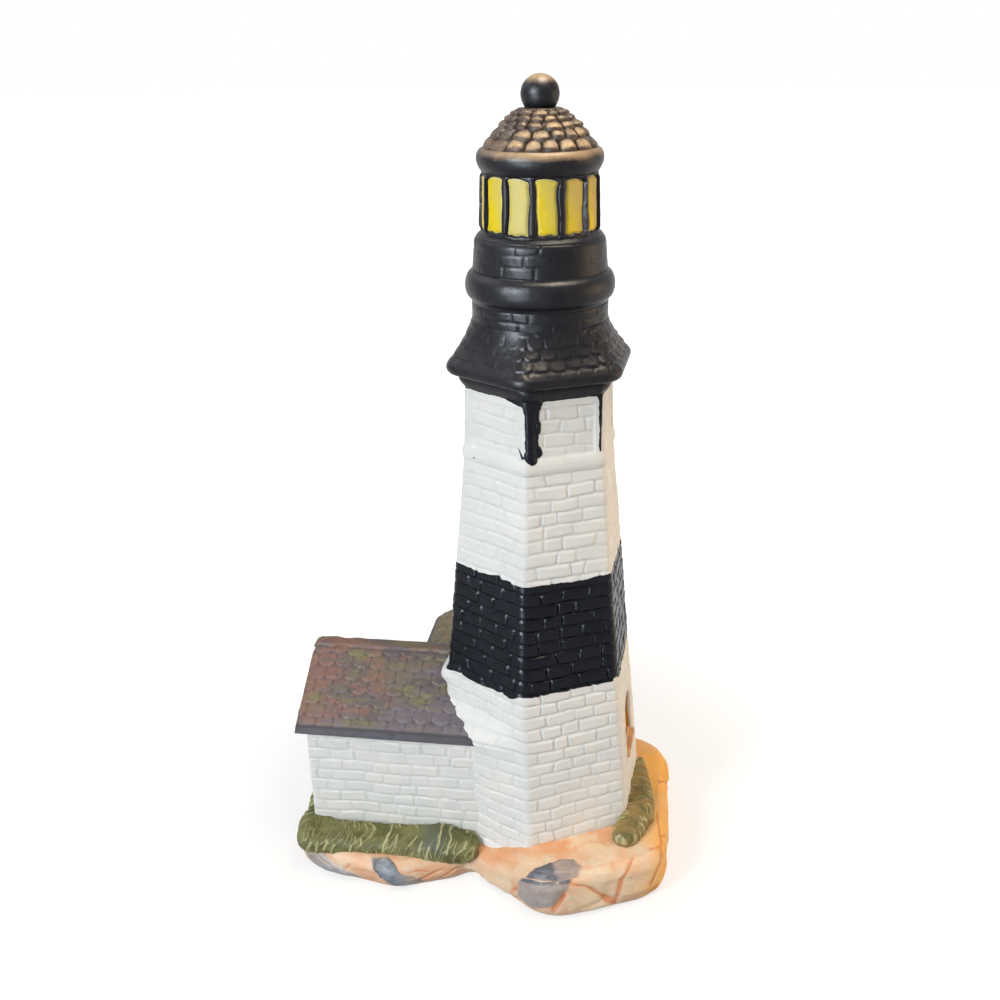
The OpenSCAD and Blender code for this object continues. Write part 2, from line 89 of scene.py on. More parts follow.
class Finish:
    """A painted finish: one material, whose nodes are added a call at a time."""

    def __init__(self, name, specular):
        self.material = bpy.data.materials.new(name)
        self.material.use_nodes = True
        self.tree = self.material.node_tree
        self.shader = self.tree.nodes["Principled BSDF"]
        self.shader.inputs["Specular IOR Level"].default_value = specular
        self.place = self.node("ShaderNodeTexCoord", output="Object")

    def fill(self, target, value):
        """Links a socket to a Link, or sets it to a plain value."""
        if isinstance(value, Link):
            self.tree.links.new(value.socket, target)
        elif isinstance(value, tuple) and target.type == "RGBA":
            target.default_value = value + (1.0,)
        else:
            target.default_value = value

    def node(self, kind, settings=None, sockets=None, output=0):
        """Adds one node: its settings first, then its sockets' values or links."""
        new = self.tree.nodes.new(kind)
        for key, value in (settings or {}).items():
            setattr(new, key, value)
        for key, value in (sockets or {}).items():
            self.fill(new.inputs[key], value)
        return Link(self, new.outputs[output])

    def mark(self, name):
        """Reads a number that the mesh carries at its points."""
        return self.node("ShaderNodeAttribute", {"attribute_name": name}, output="Fac")

    def noise(self, size_mm, detail=3.0, roughness=0.55, place=None):
        """Soft noise round 0.5, with lumps of the given size."""
        return self.node("ShaderNodeTexNoise", {}, {
            "Vector": place or self.place, "Scale": 1000.0 / size_mm, "Detail": detail,
            "Roughness": roughness})

    def step(self, value, low, high):
        """0 below low, 1 above high, and a smooth rise between."""
        return self.node("ShaderNodeMapRange", {"interpolation_type": "SMOOTHSTEP"}, {
            "Value": value, "From Min": low, "From Max": high})

    def blend(self, share, under, over):
        """The colour under, covered by the colour over where share is 1."""
        return self.node("ShaderNodeMix", {"data_type": "RGBA"}, {0: share, 6: under, 7: over}, output=2)

    def stretch(self, x, y, z):
        """Object coordinates scaled along each axis, for streaks."""
        return self.node("ShaderNodeMapping", {}, {"Vector": self.place, "Scale": (x, y, z)})

    def bump(self, height, depth_mm, strength=1.0):
        """Turns a height from 0 to 1 into a normal, at its real depth."""
        return self.node("ShaderNodeBump", {}, {
            "Strength": strength, "Distance": depth_mm / 1000.0, "Height": height})

    def ground(self, share, under, over):
        """The first coat: one colour, and another where share is 1."""
        self.colour = self.blend(share, under, over)

    def coat(self, share, over):
        """A later coat, over the colour so far where share is 1."""
        self.colour = self.blend(share, self.colour, over)

    def finished(self, roughness, normal):
        """Links the colour of all coats, the roughness and the normal to the shader, and gives the
        material."""
        self.fill(self.shader.inputs["Base Color"], self.colour)
        self.fill(self.shader.inputs["Roughness"], roughness)
        self.fill(self.shader.inputs["Normal"], normal)
        return self.material


def smooth_step(low, high, value):
    """3 t^2 - 2 t^3, with t the share of the way from low to high, held between 0 and 1."""
    share = np.clip((value - low) / (high - low), 0.0, 1.0)
    return share * share * (3.0 - 2.0 * share)


def scatter(a, b=0.0, c=0.0):
    """A repeatable number from 0 to 1 for whole numbers: the fraction of 43758.5 sin(127.1 a + 311.7 b +
    74.7 c)."""
    wave = np.sin(127.1 * a + 311.7 * b + 74.7 * c) * 43758.5453
    return wave - np.floor(wave)


def drift(place, size, seed=0):
    """Smooth noise from -1 to 1: scattered numbers at the corners of cubes, blended by smooth steps."""
    place = np.asarray(place) / size + 17.3 * seed
    cell = np.floor(place)
    share = place - cell
    share = share * share * (3.0 - 2.0 * share)
    total = 0.0
    for corner in itertools.product((0, 1), repeat=3):
        weight = 1.0
        for k in range(3):
            weight = weight * (share[..., k] if corner[k] else 1.0 - share[..., k])
        total = total + weight * scatter(cell[..., 0] + corner[0], cell[..., 1] + corner[1],
                                         cell[..., 2] + corner[2])
    return 2.0 * total - 1.0


def spot(x, y, z=0.0):
    """Stacks arrays of coordinates into points."""
    x, y, z = np.broadcast_arrays(x, y, z)
    return np.stack([x, y, z], -1)


def placed(plan, z):
    """Points of a plan drawn round the tower's axis, at a height."""
    return spot(tower_axis[0] + plan[..., 0], tower_axis[1] + plan[..., 1], z)


def grid_faces(rows, columns, closing):
    """Faces of a grid whose columns wrap round. A ring wraps its rows too, poles closes each end with a fan
    to a point, and caps joins each point of an end loop to its partner on the loop's other half."""
    row = np.arange(rows if closing == "ring" else rows - 1)[:, None]
    column = np.arange(columns)[None, :]
    after = (column + 1) % columns
    above = (row + 1) % rows
    sides = np.broadcast_arrays(row * columns + column, row * columns + after,
                                above * columns + after, above * columns + column)
    faces = [np.stack(sides, -1).reshape(-1, 4)]
    last = (rows - 1) * columns
    if closing == "poles":
        loop = np.arange(columns)
        onward = (loop + 1) % columns
        faces.append(np.stack([onward, loop, np.full(columns, rows * columns)], -1))
        faces.append(np.stack([last + loop, last + onward, np.full(columns, rows * columns + 1)], -1))
    if closing == "caps":
        low = np.arange(columns // 2 - 1)
        cap = np.stack([low + 1, low, columns - 1 - low, columns - 2 - low], -1)
        faces.append(cap)
        faces.append(cap[:, ::-1] + last)
    return faces


def add_piece(name, grids, closing, finish, stands_for, marks=None):
    """Makes one object from grids of points in mm, each a closed skin, and turns the faces outwards by the
    sign of the volume that they hold. marks are numbers at the points, for the finish."""
    points = []
    faces = []
    values = {key: [] for key in (marks or {})}
    start = 0
    for number, grid in enumerate(grids):
        rows, columns = grid.shape[:2]
        body = [grid.reshape(-1, 3)]
        if closing == "poles":
            body.append(np.stack([grid[0].mean(0), grid[-1].mean(0)]))
        body = np.concatenate(body) / 1000.0
        skin = grid_faces(rows, columns, closing)
        corners = np.concatenate([part[:, [0, k, k + 1]]
                                  for part in skin for k in range(1, part.shape[1] - 1)])
        a, b, c = (body[corners[:, k]] for k in range(3))
        inside_out = np.einsum("ij,ij->i", a, np.cross(b, c)).sum() < 0
        faces += [(part[:, ::-1] if inside_out else part) + start for part in skin]
        for key in values:
            value = np.broadcast_to(marks[key][number], grid.shape[:2])
            values[key].append(value.ravel())
            if closing == "poles":
                values[key].append([value[0].mean(), value[-1].mean()])
        points.append(body)
        start += len(body)
    points = np.concatenate(points)
    sizes = np.concatenate([np.full(len(part), part.shape[1]) for part in faces])
    mesh = bpy.data.meshes.new(name)
    mesh.vertices.add(len(points))
    mesh.vertices.foreach_set("co", points.ravel())
    mesh.loops.add(int(sizes.sum()))
    mesh.loops.foreach_set("vertex_index", np.concatenate([part.ravel() for part in faces]).astype(np.int32))
    mesh.polygons.add(len(sizes))
    mesh.polygons.foreach_set("loop_start", (np.cumsum(sizes) - sizes).astype(np.int32))
    mesh.update(calc_edges=True)
    for key, value in values.items():
        layer = mesh.attributes.new(key, "FLOAT", "POINT")
        layer.data.foreach_set("value", np.concatenate(value).astype(np.float32))
    mesh.shade_smooth()
    mesh.set_sharp_from_angle(angle=math.radians(sharp_degrees))
    mesh.materials.append(finish)
    piece = bpy.data.objects.new(name, mesh)
    bpy.context.scene.collection.objects.link(piece)
    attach(piece, "root")
    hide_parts(*stands_for)


def even_loop(points, count):
    """A closed line of points, walked again in equal steps."""
    closed = np.concatenate([points, points[:1]])
    length = np.concatenate([[0.0], np.cumsum(np.linalg.norm(np.diff(closed, axis=0), axis=1))])
    walk = np.linspace(0.0, length[-1], count, endpoint=False)
    return np.stack([np.interp(walk, length, closed[:, k]) for k in range(2)], -1), length[-1]


def lobe_reach(discs, bearing):
    """Distance from the base's heart to the edge of a band stretched round discs: for each outward
    direction the edge lies on the disc that reaches furthest, at p + r (cos a, sin a)."""
    turn = np.linspace(0.0, 2.0 * np.pi, 1440, endpoint=False)
    way = np.stack([np.cos(turn), np.sin(turn)], -1)
    best = (discs[:, :2] @ way.T + discs[:, 2:]).argmax(0)
    edge = discs[best, :2] + discs[best, 2:] * way
    edge, _ = even_loop(edge, 2400)
    away = edge - base_heart
    return np.interp(bearing, np.arctan2(away[:, 1], away[:, 0]), np.linalg.norm(away, axis=1),
                     period=2.0 * np.pi)


bearing = np.linspace(-np.pi, np.pi, 3600, endpoint=False)
reaches = np.stack([lobe_reach(lobe, bearing) for lobe in (house_lobe, mound_lobe, rear_lobe)])
reach = 1.6 * np.log(np.exp((reaches - reaches.max(0)) / 1.6).sum(0)) + reaches.max(0)
mound_share = smooth_step(-7.0, 1.0, reaches[1] - np.maximum(reaches[0], reaches[2]))
outline = base_heart + reach[:, None] * np.stack([np.cos(bearing), np.sin(bearing)], -1)
outline, round_trip = even_loop(outline, outline_points)


def around(values, turn):
    """Reads a value kept for each bearing from the base's heart."""
    return np.interp(turn, bearing, values, period=2.0 * np.pi)


def chips(along, up, size, seed):
    """Carved chips: each point takes the slope of the nearest of one scattered centre per square cell.
    Gives the height of that slope, and how much nearer its centre is than the next one's."""
    count = round(round_trip / size)
    x = along / round_trip * count
    y = up / size
    near = np.full(x.shape, 9.0)
    far = np.full(x.shape, 9.0)
    slope = np.zeros(x.shape)
    for di, dj in itertools.product((-1, 0, 1), repeat=2):
        i = np.floor(x) + di
        j = np.floor(y) + dj
        cx = i + 0.15 + 0.7 * scatter(i % count, j, seed)
        cy = j + 0.15 + 0.7 * scatter(i % count, j, seed + 1)
        gap = np.hypot(x - cx, y - cy)
        lean = ((scatter(i % count, j, seed + 2) - 0.5) * (x - cx)
                + (scatter(i % count, j, seed + 3) - 0.5) * (y - cy))
        far = np.where(gap < near, near, np.minimum(far, gap))
        slope = np.where(gap < near, lean, slope)
        near = np.minimum(near, gap)
    return slope, (far - near) * size


def capsule(across, height, start, end, thick_start, thick_end):
    """Distance inside a run of paint from start to end, whose half-width goes from thick_start to
    thick_end."""
    way = np.array(end, float) - np.array(start, float)
    share = ((across - start[0]) * way[0] + (height - start[1]) * way[1]) / (way @ way)
    share = np.clip(share, 0.0, 1.0)
    gap = np.hypot(across - start[0] - share * way[0], height - start[1] - share * way[1])
    return thick_start + (thick_end - thick_start) * share - gap


# Creases between the chips, each from one (distance along the outline in mm, share of the side) to another,
# with its half-width in mm.
creases = [
    ((186.5, 0.72), (201.0, 0.30), 0.5), ((201.0, 0.30), (205.5, 0.10), 0.8),
    ((205.5, 0.10), (209.0, 0.55), 0.8), ((209.0, 0.55), (216.0, 1.05), 0.35),
    ((256.0, 1.00), (244.0, 0.90), 0.4), ((244.0, 0.90), (235.0, 0.80), 0.5),
    ((235.0, 0.80), (226.0, 0.52), 0.55), ((226.0, 0.52), (221.5, 0.30), 0.3),
    ((228.0, 1.00), (235.0, 0.80), 0.3), ((241.5, 0.90), (245.5, 0.64), 0.3),
    ((158.5, 0.26), (168.5, 0.70), 0.6), ((179.5, 0.18), (184.0, 0.43), 0.7),
    ((111.0, 0.45), (113.5, 0.20), 0.3), ((113.5, 0.20), (123.5, 0.56), 0.4),
    ((82.0, 0.62), (81.0, 0.46), 0.2), ((113.0, 0.64), (117.0, 0.56), 0.2),
    ((129.0, 0.48), (123.0, 0.16), 0.3), ((67.0, 0.64), (79.0, 0.20), 0.2),
    ((278.0, 0.95), (284.0, 0.50), 0.5), ((284.0, 0.50), (297.0, 0.14), 0.7),
    ((326.0, 0.85), (339.0, 0.42), 0.6), ((339.0, 0.42), (333.0, 0.10), 0.4),
    ((374.0, 1.00), (366.0, 0.48), 0.5), ((366.0, 0.48), (377.0, 0.15), 0.7),
    ((408.0, 0.80), (421.0, 0.40), 0.5), ((421.0, 0.40), (415.0, 0.12), 0.6),
    ((455.0, 0.95), (447.0, 0.45), 0.6), ((447.0, 0.45), (459.0, 0.12), 0.4),
    ((489.0, 0.80), (502.0, 0.35), 0.7), ((502.0, 0.35), (495.0, 0.10), 0.4),
    ((19.0, 0.95), (27.0, 0.45), 0.6), ((27.0, 0.45), (15.0, 0.12), 0.4)]


def fallen(x, y):
    """Share of the mound's height that is gone beside the corner of the house, at a place from the tower's
    axis."""
    return smooth_step(4.0, -19.0, x) * smooth_step(-22.0, -33.0, y)


def base_side(along, share, lift=0.0):
    """A point on the base's side: along runs round the outline in mm, share goes from the foot, 0, to the
    edge of the top, 1. The side leans out over a tuck, stands, and rounds over into the top in a flattened
    quarter."""
    where = (along % round_trip) / round_trip * len(outline)
    tangent = np.roll(outline, -3, axis=0) - np.roll(outline, 3, axis=0)
    tangent /= np.linalg.norm(tangent, axis=1)[:, None]
    x, y, way_x, way_y = (np.interp(where, np.arange(len(outline)), line, period=len(outline))
                          for line in (*outline.T, *tangent.T))
    edge_top = around(mound_share, np.arctan2(y - base_heart[1], x - base_heart[0])) * (1.0 - fallen(x, y))
    edge_top = shelf_top + (mound_top - shelf_top) * edge_top
    rise = np.clip(share / 0.5, 0.0, 1.0)
    turn = np.clip((share - 0.5) / 0.5, 0.0, 1.0) * np.pi / 2.0
    shoulder = edge_top - 5.5
    level = rise * shoulder + 5.5 * np.sin(turn) ** 1.18
    tuck = base_tuck * (1.0 - np.clip(level / 5.5, 0.0, 1.0)) ** 2
    inset = tuck + 0.6 * rise + (edge_round - 0.6) * (1.0 - np.cos(turn) ** 1.18)
    inset = inset + 12.0 * np.maximum(share - 1.0, 0.0)
    up = level + inset
    bend = 5.0 * drift(spot(x, y, 1.4 * up), 26.0, 5)
    slope, border = chips(along + bend, up + bend, 25.0, 3)
    fine, fine_border = chips(along - bend, up, 11.0, 11)
    crease = np.zeros(level.shape)
    sway = 0.6 * drift(spot(x, y, up), 4.0, 6)
    for start, end, wide in creases:
        run = capsule(along + sway, side_mm * share + sway, (start[0], side_mm * start[1]),
                      (end[0], side_mm * end[1]), wide, wide)
        crease = np.maximum(crease, smooth_step(-1.3, 0.5, run))
    relief = 4.0 * slope * smooth_step(0.0, 4.0, border) + 0.85 * fine * smooth_step(0.0, 3.0, fine_border)
    relief = relief + 0.45 * drift(spot(x, y, level), 8.0) - 0.60 * crease
    relief = relief * smooth_step(0.0, 0.12, share) * (1.0 - 0.85 * smooth_step(0.8, 1.0, share)) - cut_back
    relief = relief + lift
    flat = np.sin(turn)
    out = relief * (1.0 - flat) - inset
    point = spot(tower_axis[0] + x + way_y * out, tower_axis[1] + y - way_x * out,
                 level + flat * (relief + cut_back))
    faint = 0.45 * (1.0 - smooth_step(0.2, 1.6, border))
    faint = faint * smooth_step(-0.1, 0.5, drift(spot(x, y, up), 12.0, 7))
    return point, np.maximum(crease, faint), slope


def opening_reach(turn):
    """Distance from the base's heart to the inner face of the walls that stand on the base: along a
    direction w, the least (d - n . heart) / (n . w) over a shape's sides, and the most over the three
    shapes."""
    way = np.stack([np.cos(turn), np.sin(turn)], -1)
    most = np.zeros(turn.shape)
    six = np.radians(-4.0 + 60.0 * np.arange(6))
    shapes = [
        np.stack([np.cos(six), np.sin(six), np.full(6, 36.7)], -1),
        np.array([[0, -1, 30.5], [0, 1, 30.5], [-1, 0, 90.5], [1, 0, 0.0]], float),
        np.array([[-1, 0, 52.5], [1, 0, 4.5], [0, 1, 56.5], [0, -1, 0.0]], float),
    ]
    for sides in shapes:
        lead = way @ sides[:, :2].T
        gap = sides[:, 2] - sides[:, :2] @ base_heart
        most = np.maximum(most, np.where(lead > 1e-6, gap / np.maximum(lead, 1e-6), 1e9).min(-1))
    return most


along = np.arange(outline_points) / outline_points * round_trip
along, share = np.broadcast_arrays(along, np.linspace(0.0, 1.0, side_rows)[:, None])
side, side_crack, side_slope = base_side(along, share)
edge = side[-1, :, :2] - tower_axis
turn = np.arctan2(edge[:, 1] - base_heart[1], edge[:, 0] - base_heart[0])
mouth = base_heart + opening_reach(turn)[:, None] * np.stack([np.cos(turn), np.sin(turn)], -1)
share = np.linspace(0.0, 1.0, 34)[1:, None, None]
plan = edge + (mouth - edge) * share
away = plan - base_heart
inside = around(reaches[1], np.arctan2(away[..., 1], away[..., 0])) - np.linalg.norm(away, axis=-1)
edge_top = side[-1, :, 2]
level = smooth_step(-2.5, 6.5, inside) * (1.0 - fallen(plan[..., 0], plan[..., 1]))
level = shelf_top + (mound_top - shelf_top) * level
settle = smooth_step(0.0, 0.35, share[..., 0])
level = edge_top * (1.0 - settle) + level * settle
uneven = 0.35 * drift(spot(plan[..., 0], plan[..., 1]), 6.0)
level = level + uneven * (1.0 - smooth_step(0.4, 0.9, share[..., 0]))
top = placed(plan, level)
hollow_top = top[-1, :, 2] - casting_wall
away = edge - base_heart
inner = base_heart + away * (1.0 - (casting_wall + 1.0) / np.linalg.norm(away, axis=1))[:, None]
lining = [placed(mouth, hollow_top), placed(inner, edge_top - casting_wall), placed(inner, 0.0)]
skin = np.concatenate([side, top, np.stack(lining)])
crack = np.concatenate([side_crack, np.zeros((len(top) + len(lining), outline_points))])
slope = np.concatenate([side_slope, 0.3 * drift(spot(plan[..., 0], plan[..., 1]), 9.0, 2),
                        np.zeros((len(lining), outline_points))])

way_out = spot(skin[..., 0], skin[..., 1]) - spot(tower_axis[0], tower_axis[1])
# The amber over the base's right side is painted warm light: that side is coloured as if a warm lamp shone on
# it.
amber = smooth_step(36.0, 53.0, way_out[..., 0] + 0.12 * way_out[..., 1] + 5.0 * drift(skin, 12.0, 8))
near_foot = 1.0 - smooth_step(47.0, 57.0, np.linalg.norm(way_out, axis=-1) + 3.0 * drift(skin, 6.0, 9))
near_foot = near_foot * (skin[..., 2] > 10.0)

paint = Finish("rock_wash", 0.16)
crack_mark = paint.mark("crack")
wash = paint.noise(24.0, 2.0, 0.5)
strokes = paint.noise(8.0, 3.0, 0.6, paint.stretch(1.0, 1.0, 2.2))
grain = paint.noise(1.2, 4.0, 0.65)
rust = paint.noise(17.0, 2.0, 0.5)
paint.ground(paint.step(wash + 0.9 * paint.mark("slope"), 0.36, 0.66), (0.76, 0.445, 0.265),
             (0.80, 0.60, 0.41))
paint.coat(paint.step(0.7 * strokes + 0.3 * grain, 0.48, 0.62) * 0.75, (0.765, 0.655, 0.50))
paint.coat(paint.step(rust + 0.25 * (strokes - 0.5), 0.50, 0.70) * 0.45, (0.72, 0.36, 0.19))
paint.coat(paint.mark("near_foot") * paint.step(strokes, 0.36, 0.56) * 0.85, (0.76, 0.345, 0.155))
paint.coat(paint.mark("amber") * (0.55 + 0.40 * paint.step(wash, 0.35, 0.65)), (0.90, 0.46, 0.085))
paint.coat(paint.step(grain * 0.5 + strokes * 0.5, 0.57, 0.66) * 0.55, (0.52, 0.33, 0.23))
paint.coat(paint.step(crack_mark + 0.9 * (strokes - 0.5), 0.22, 0.95) * 0.78, (0.68, 0.23, 0.085))
paint.coat(paint.step(crack_mark + 1.6 * (strokes - 0.5), 0.95, 1.35) * 0.50, (0.34, 0.14, 0.07))
paint.coat(paint.mark("foot") * paint.step(strokes, 0.35, 0.5) * 0.8, (0.30, 0.29, 0.31))
rock_paint = paint.finished(0.42 + 0.15 * grain, paint.bump(grain * 0.3 + strokes * 0.7, 0.80, 0.8))
foot_line = 1.0 - smooth_step(0.3, 1.3, skin[..., 2])
add_piece("rocky_base", [skin], "ring", rock_paint, ["rock_base"],
          {"crack": [crack], "slope": [slope], "amber": [amber], "near_foot": [near_foot],
           "foot": [foot_line]})

# Blue-grey rocks on the front of the base: raised flats of the casting between the chips, painted slate
# over violet and glossier than the wash round them. Their corners are (distance along the outline in mm,
# share of the side).
left_rock = [(55, 0.56), (61, 0.88), (70, 0.76), (79, 0.48), (89, 0.13), (77, 0.06), (62, 0.14)]
middle_rock = [(91, 0.92), (99, 1.10), (104, 0.82), (109, 0.56), (116, 0.30), (117, 0.10), (104, 0.07),
               (95, 0.45)]
upper_rock = [(164, 0.66), (167, 0.95), (173, 1.36), (184, 1.70), (194, 1.60), (196, 1.15), (191, 0.82),
              (174, 0.70)]
lower_rock = [(158, 0.14), (160, 0.46), (163, 0.67), (175, 0.73), (189, 0.84), (185, 0.52), (180, 0.24),
              (169, 0.07)]


rock_points, rock_rows = 130, 26


def painted_rock(corners, seed):
    """A raised flat inside a many-cornered outline: rows run from its middle out to the outline, with the
    lift min(1, 2.6 (1 - q))^0.7 of the full height at a share q of the way, and back underneath, inside the
    base. Gives also the place within the outline, from -1 to 1 along and up."""
    corners = np.asarray(corners, float)
    edge, _ = even_loop(corners * np.array([1.0, side_mm]), rock_points)
    walk = np.linspace(0.0, 2.0 * np.pi, rock_points, endpoint=False)
    ring = [spot(4.0 * np.cos(walk), 4.0 * np.sin(walk), 9.0 * seed + k) for k in range(2)]
    edge = edge + 0.8 * np.stack([drift(place, 1.6, seed) for place in ring], -1)
    middle = edge.mean(0)
    q = np.concatenate([np.linspace(0.03, 1.0, rock_rows), [0.97, 0.5, 0.05]])[:, None, None]
    place = middle + q * (edge - middle)
    local = 2.0 * (place - middle) / np.ptp(edge, axis=0)
    place[..., 1] /= side_mm
    above = (np.arange(len(q)) < rock_rows)[:, None]
    diagonal = local[..., 0] + 0.35 * local[..., 1]
    rim = np.clip(2.6 * (1.0 - q[..., 0]), 0.0, 1.0)
    ridge = np.abs(diagonal - 0.25 * math.cos(2.0 * seed))
    lift = np.where(above, 1.55 * rim ** 0.7 * (1.0 - 0.62 * ridge) - 0.15, -1.6)
    point, _, _ = base_side(place[..., 0], place[..., 1], lift)
    return point, diagonal, local[..., 1], np.where(above, q[..., 0], 1.0)


paint = Finish("rock_slate", 0.22)
strokes = paint.noise(6.0, 4.0, 0.65, paint.stretch(1.0, 1.0, 2.0))
grain = paint.noise(1.1, 4.0, 0.7)
cloud = paint.noise(11.0, 3.0)
lit = paint.mark("lit")
cool = paint.mark("cool")
paint.ground(paint.step(cool + 0.7 * (cloud - 0.5), 0.2, 0.8), (0.37, 0.295, 0.275), (0.215, 0.255, 0.300))
paint.ground(paint.step(lit + 1.0 * (strokes - 0.5), 0.22, 0.62), (0.105, 0.115, 0.145), paint.colour)
paint.coat(paint.step(lit + 0.8 * (cloud - 0.5), 0.45, 0.95) * 0.6, (0.44, 0.375, 0.345))
paint.coat(paint.step(strokes * 0.6 + grain * 0.4, 0.54, 0.64) * 0.75, (0.60, 0.49, 0.41))
paint.coat((1.0 - paint.step(strokes * 0.6 + grain * 0.4, 0.36, 0.45)) * 0.55, (0.13, 0.125, 0.14))
paint.coat(paint.step(paint.mark("edge") + 0.5 * (cloud - 0.5), 0.80, 1.02) * 0.85, (0.66, 0.44, 0.32))
rock_blue = paint.finished(0.40 + 0.20 * grain, paint.bump(grain * 0.4 + strokes * 0.6, 0.6, 0.8))
grids, sideways, upward, edges = zip(*[painted_rock(corners, seed) for seed, corners in
                                       enumerate((left_rock, middle_rock, upper_rock, lower_rock))])
lit = [0.75 + 0.1 * upward[0], 0.52 + 0.4 * sideways[1], smooth_step(-0.45, 0.0, sideways[2]) * 0.62,
       0.80 - 0.80 * smooth_step(0.28, 0.50, upward[3] - 0.25 * sideways[3])]
cool = [smooth_step(0.4, -0.5, upward[0] - 0.3 * sideways[0]), 1.0 - smooth_step(-0.1, 0.9, sideways[1]),
        0.30, 0.35 - 0.3 * upward[3]]
add_piece("painted_rocks", list(grids), "poles", rock_blue, ["blue_grey_rocks"],
          {"lit": lit, "cool": cool, "edge": list(edges)})

# Hedges round the house and grass beside the tower: rolls modelled on the casting, scored with a comb of
# slanted strokes, painted olive, and dry-brushed in pale green along the strokes.


def strokes_on(s, v, place, pitch, lean, seed):
    """Short strokes of a comb across a roll: one to a pitch, along the lines s + lean v, each with its own
    middle, length and strength."""
    phase = (s + lean * v + 1.3 * drift(place, 4.0, seed)) / pitch
    number = np.floor(phase)
    ridge = 1.0 - np.abs(2.0 * (phase - number) - 1.0)
    middle = 3.0 + 10.5 * (scatter(number, seed) - 0.5)
    length = 2.6 + 5.4 * scatter(number, seed + 1.0)
    within = 1.0 - smooth_step(0.55, 1.0, np.abs(v - middle) / length)
    return smooth_step(0.48, 1.0, ridge) * within * smooth_step(0.05, 0.45, scatter(number, seed + 2.0))


def roll(knots, half_widths, middle_z, half_z, seed, hump):
    """A roll along a line of knots. Its cross-section is a superellipse |x/a|^2.6 + |z/b|^2.6 = 1, which
    shrinks as sqrt(1 - e^2) over the rounded ends, with three combs of strokes pressed into it. Gives the
    points, the strokes and a share that is 1 on the hump and along the lower edge."""
    knots = np.asarray(knots, float)
    length = np.concatenate([[0.0], np.cumsum(np.linalg.norm(np.diff(knots, axis=0), axis=1))])
    walk = np.arange(-0.985 * half_widths[0], length[-1] + 0.985 * half_widths[-1], 0.36)
    held = np.clip(walk, 0.0, length[-1])
    soft = np.hanning(31) / np.hanning(31).sum()
    line = np.stack([np.interp(np.pad(held, 15, mode="edge"), length, knots[:, k]) for k in range(2)], -1)
    line = np.stack([np.convolve(line[:, k], soft, "valid") for k in range(2)], -1)
    leg = np.clip(np.searchsorted(length, held) - 1, 0, len(knots) - 2)
    way = (knots[1:] - knots[:-1])[leg]
    way = np.stack([np.convolve(np.pad(way[:, k], 15, mode="edge"), soft, "valid") for k in range(2)], -1)
    way = way / np.linalg.norm(way, axis=1)[:, None]
    line = line + way * (walk - held)[:, None]
    half = np.interp(held, length, half_widths)
    end = np.sqrt(1.0 - ((walk - held) / half) ** 2)
    tall = half_z * np.sqrt(half / np.max(half_widths))
    turn = np.linspace(0.0, 2.0 * np.pi, 110, endpoint=False)[None, :]
    side = np.sign(np.cos(turn)) * np.abs(np.cos(turn)) ** 0.77
    rise = np.sign(np.sin(turn)) * np.abs(np.sin(turn)) ** 0.77
    out = (half * end)[:, None] * side
    up = (tall * end ** 0.7)[:, None] * rise
    s = np.broadcast_to(walk[:, None], out.shape)
    v = np.arcsin(np.sin(turn)) * 7.0 * np.sqrt(half / 8.0)[:, None]
    point = spot(line[:, :1] + way[:, 1:] * out, line[:, 1:] - way[:, :1] * out,
                 middle_z - half_z + tall[:, None] + up)
    stroke = np.maximum(strokes_on(s, v, point, 1.6, -0.34, seed),
                        strokes_on(s, v, point, 3.7, -0.16, seed + 3.0))
    stroke = np.maximum(stroke, 0.8 * strokes_on(s, v + 1.5, point, 3.1, -0.75, seed + 6.0))
    push = 0.50 * stroke - 0.22 + 0.62 * drift(point, 9.0, seed + 2) + 0.25 * drift(point, 2.6, seed + 4)
    push = push * end[:, None]
    point = point + spot(way[:, 1:] * side * push, -way[:, :1] * side * push, rise * push)
    swell = np.exp(-((s - hump[0]) / 6.5) ** 2)
    point[..., 2] += hump[1] * swell * np.clip(rise, 0.0, 1.0)
    shade = np.maximum(swell * min(hump[1], 1.0) * smooth_step(-2.0, 4.0, v),
                       smooth_step(-4.6, -6.6, v + drift(point, 5.0, seed)))
    return point + np.array([tower_axis[0], tower_axis[1], 0.0]), stroke, shade


paint = Finish("hedge_paint", 0.08)
patch = paint.noise(8.0, 3.0)
hair = paint.noise(1.1, 4.0, 0.75, paint.stretch(1.6, 1.6, 0.6))
mottle = paint.noise(2.6, 4.0, 0.7)
paint.ground(paint.step(patch, 0.38, 0.62), (0.120, 0.122, 0.045), (0.215, 0.212, 0.085))
paint.coat(paint.step(mottle, 0.52, 0.66) * 0.55, (0.245, 0.24, 0.105))
paint.coat((1.0 - paint.step(mottle, 0.34, 0.46)) * 0.5, (0.058, 0.066, 0.030))
paint.coat(paint.mark("shade") * (0.5 + 0.5 * paint.step(patch, 0.35, 0.6)), (0.105, 0.128, 0.100))
paint.coat(paint.mark("dry") * paint.step(patch, 0.30, 0.56) * 0.75, (0.30, 0.185, 0.065))
paint.coat(paint.step(paint.mark("stroke") + 0.9 * (hair - 0.5), 0.30, 0.90) * 0.85, (0.50, 0.48, 0.26))
hedge_olive = paint.finished(0.42 + 0.15 * hair, paint.bump(hair * 0.5 + mottle * 0.5, 0.4, 0.8))

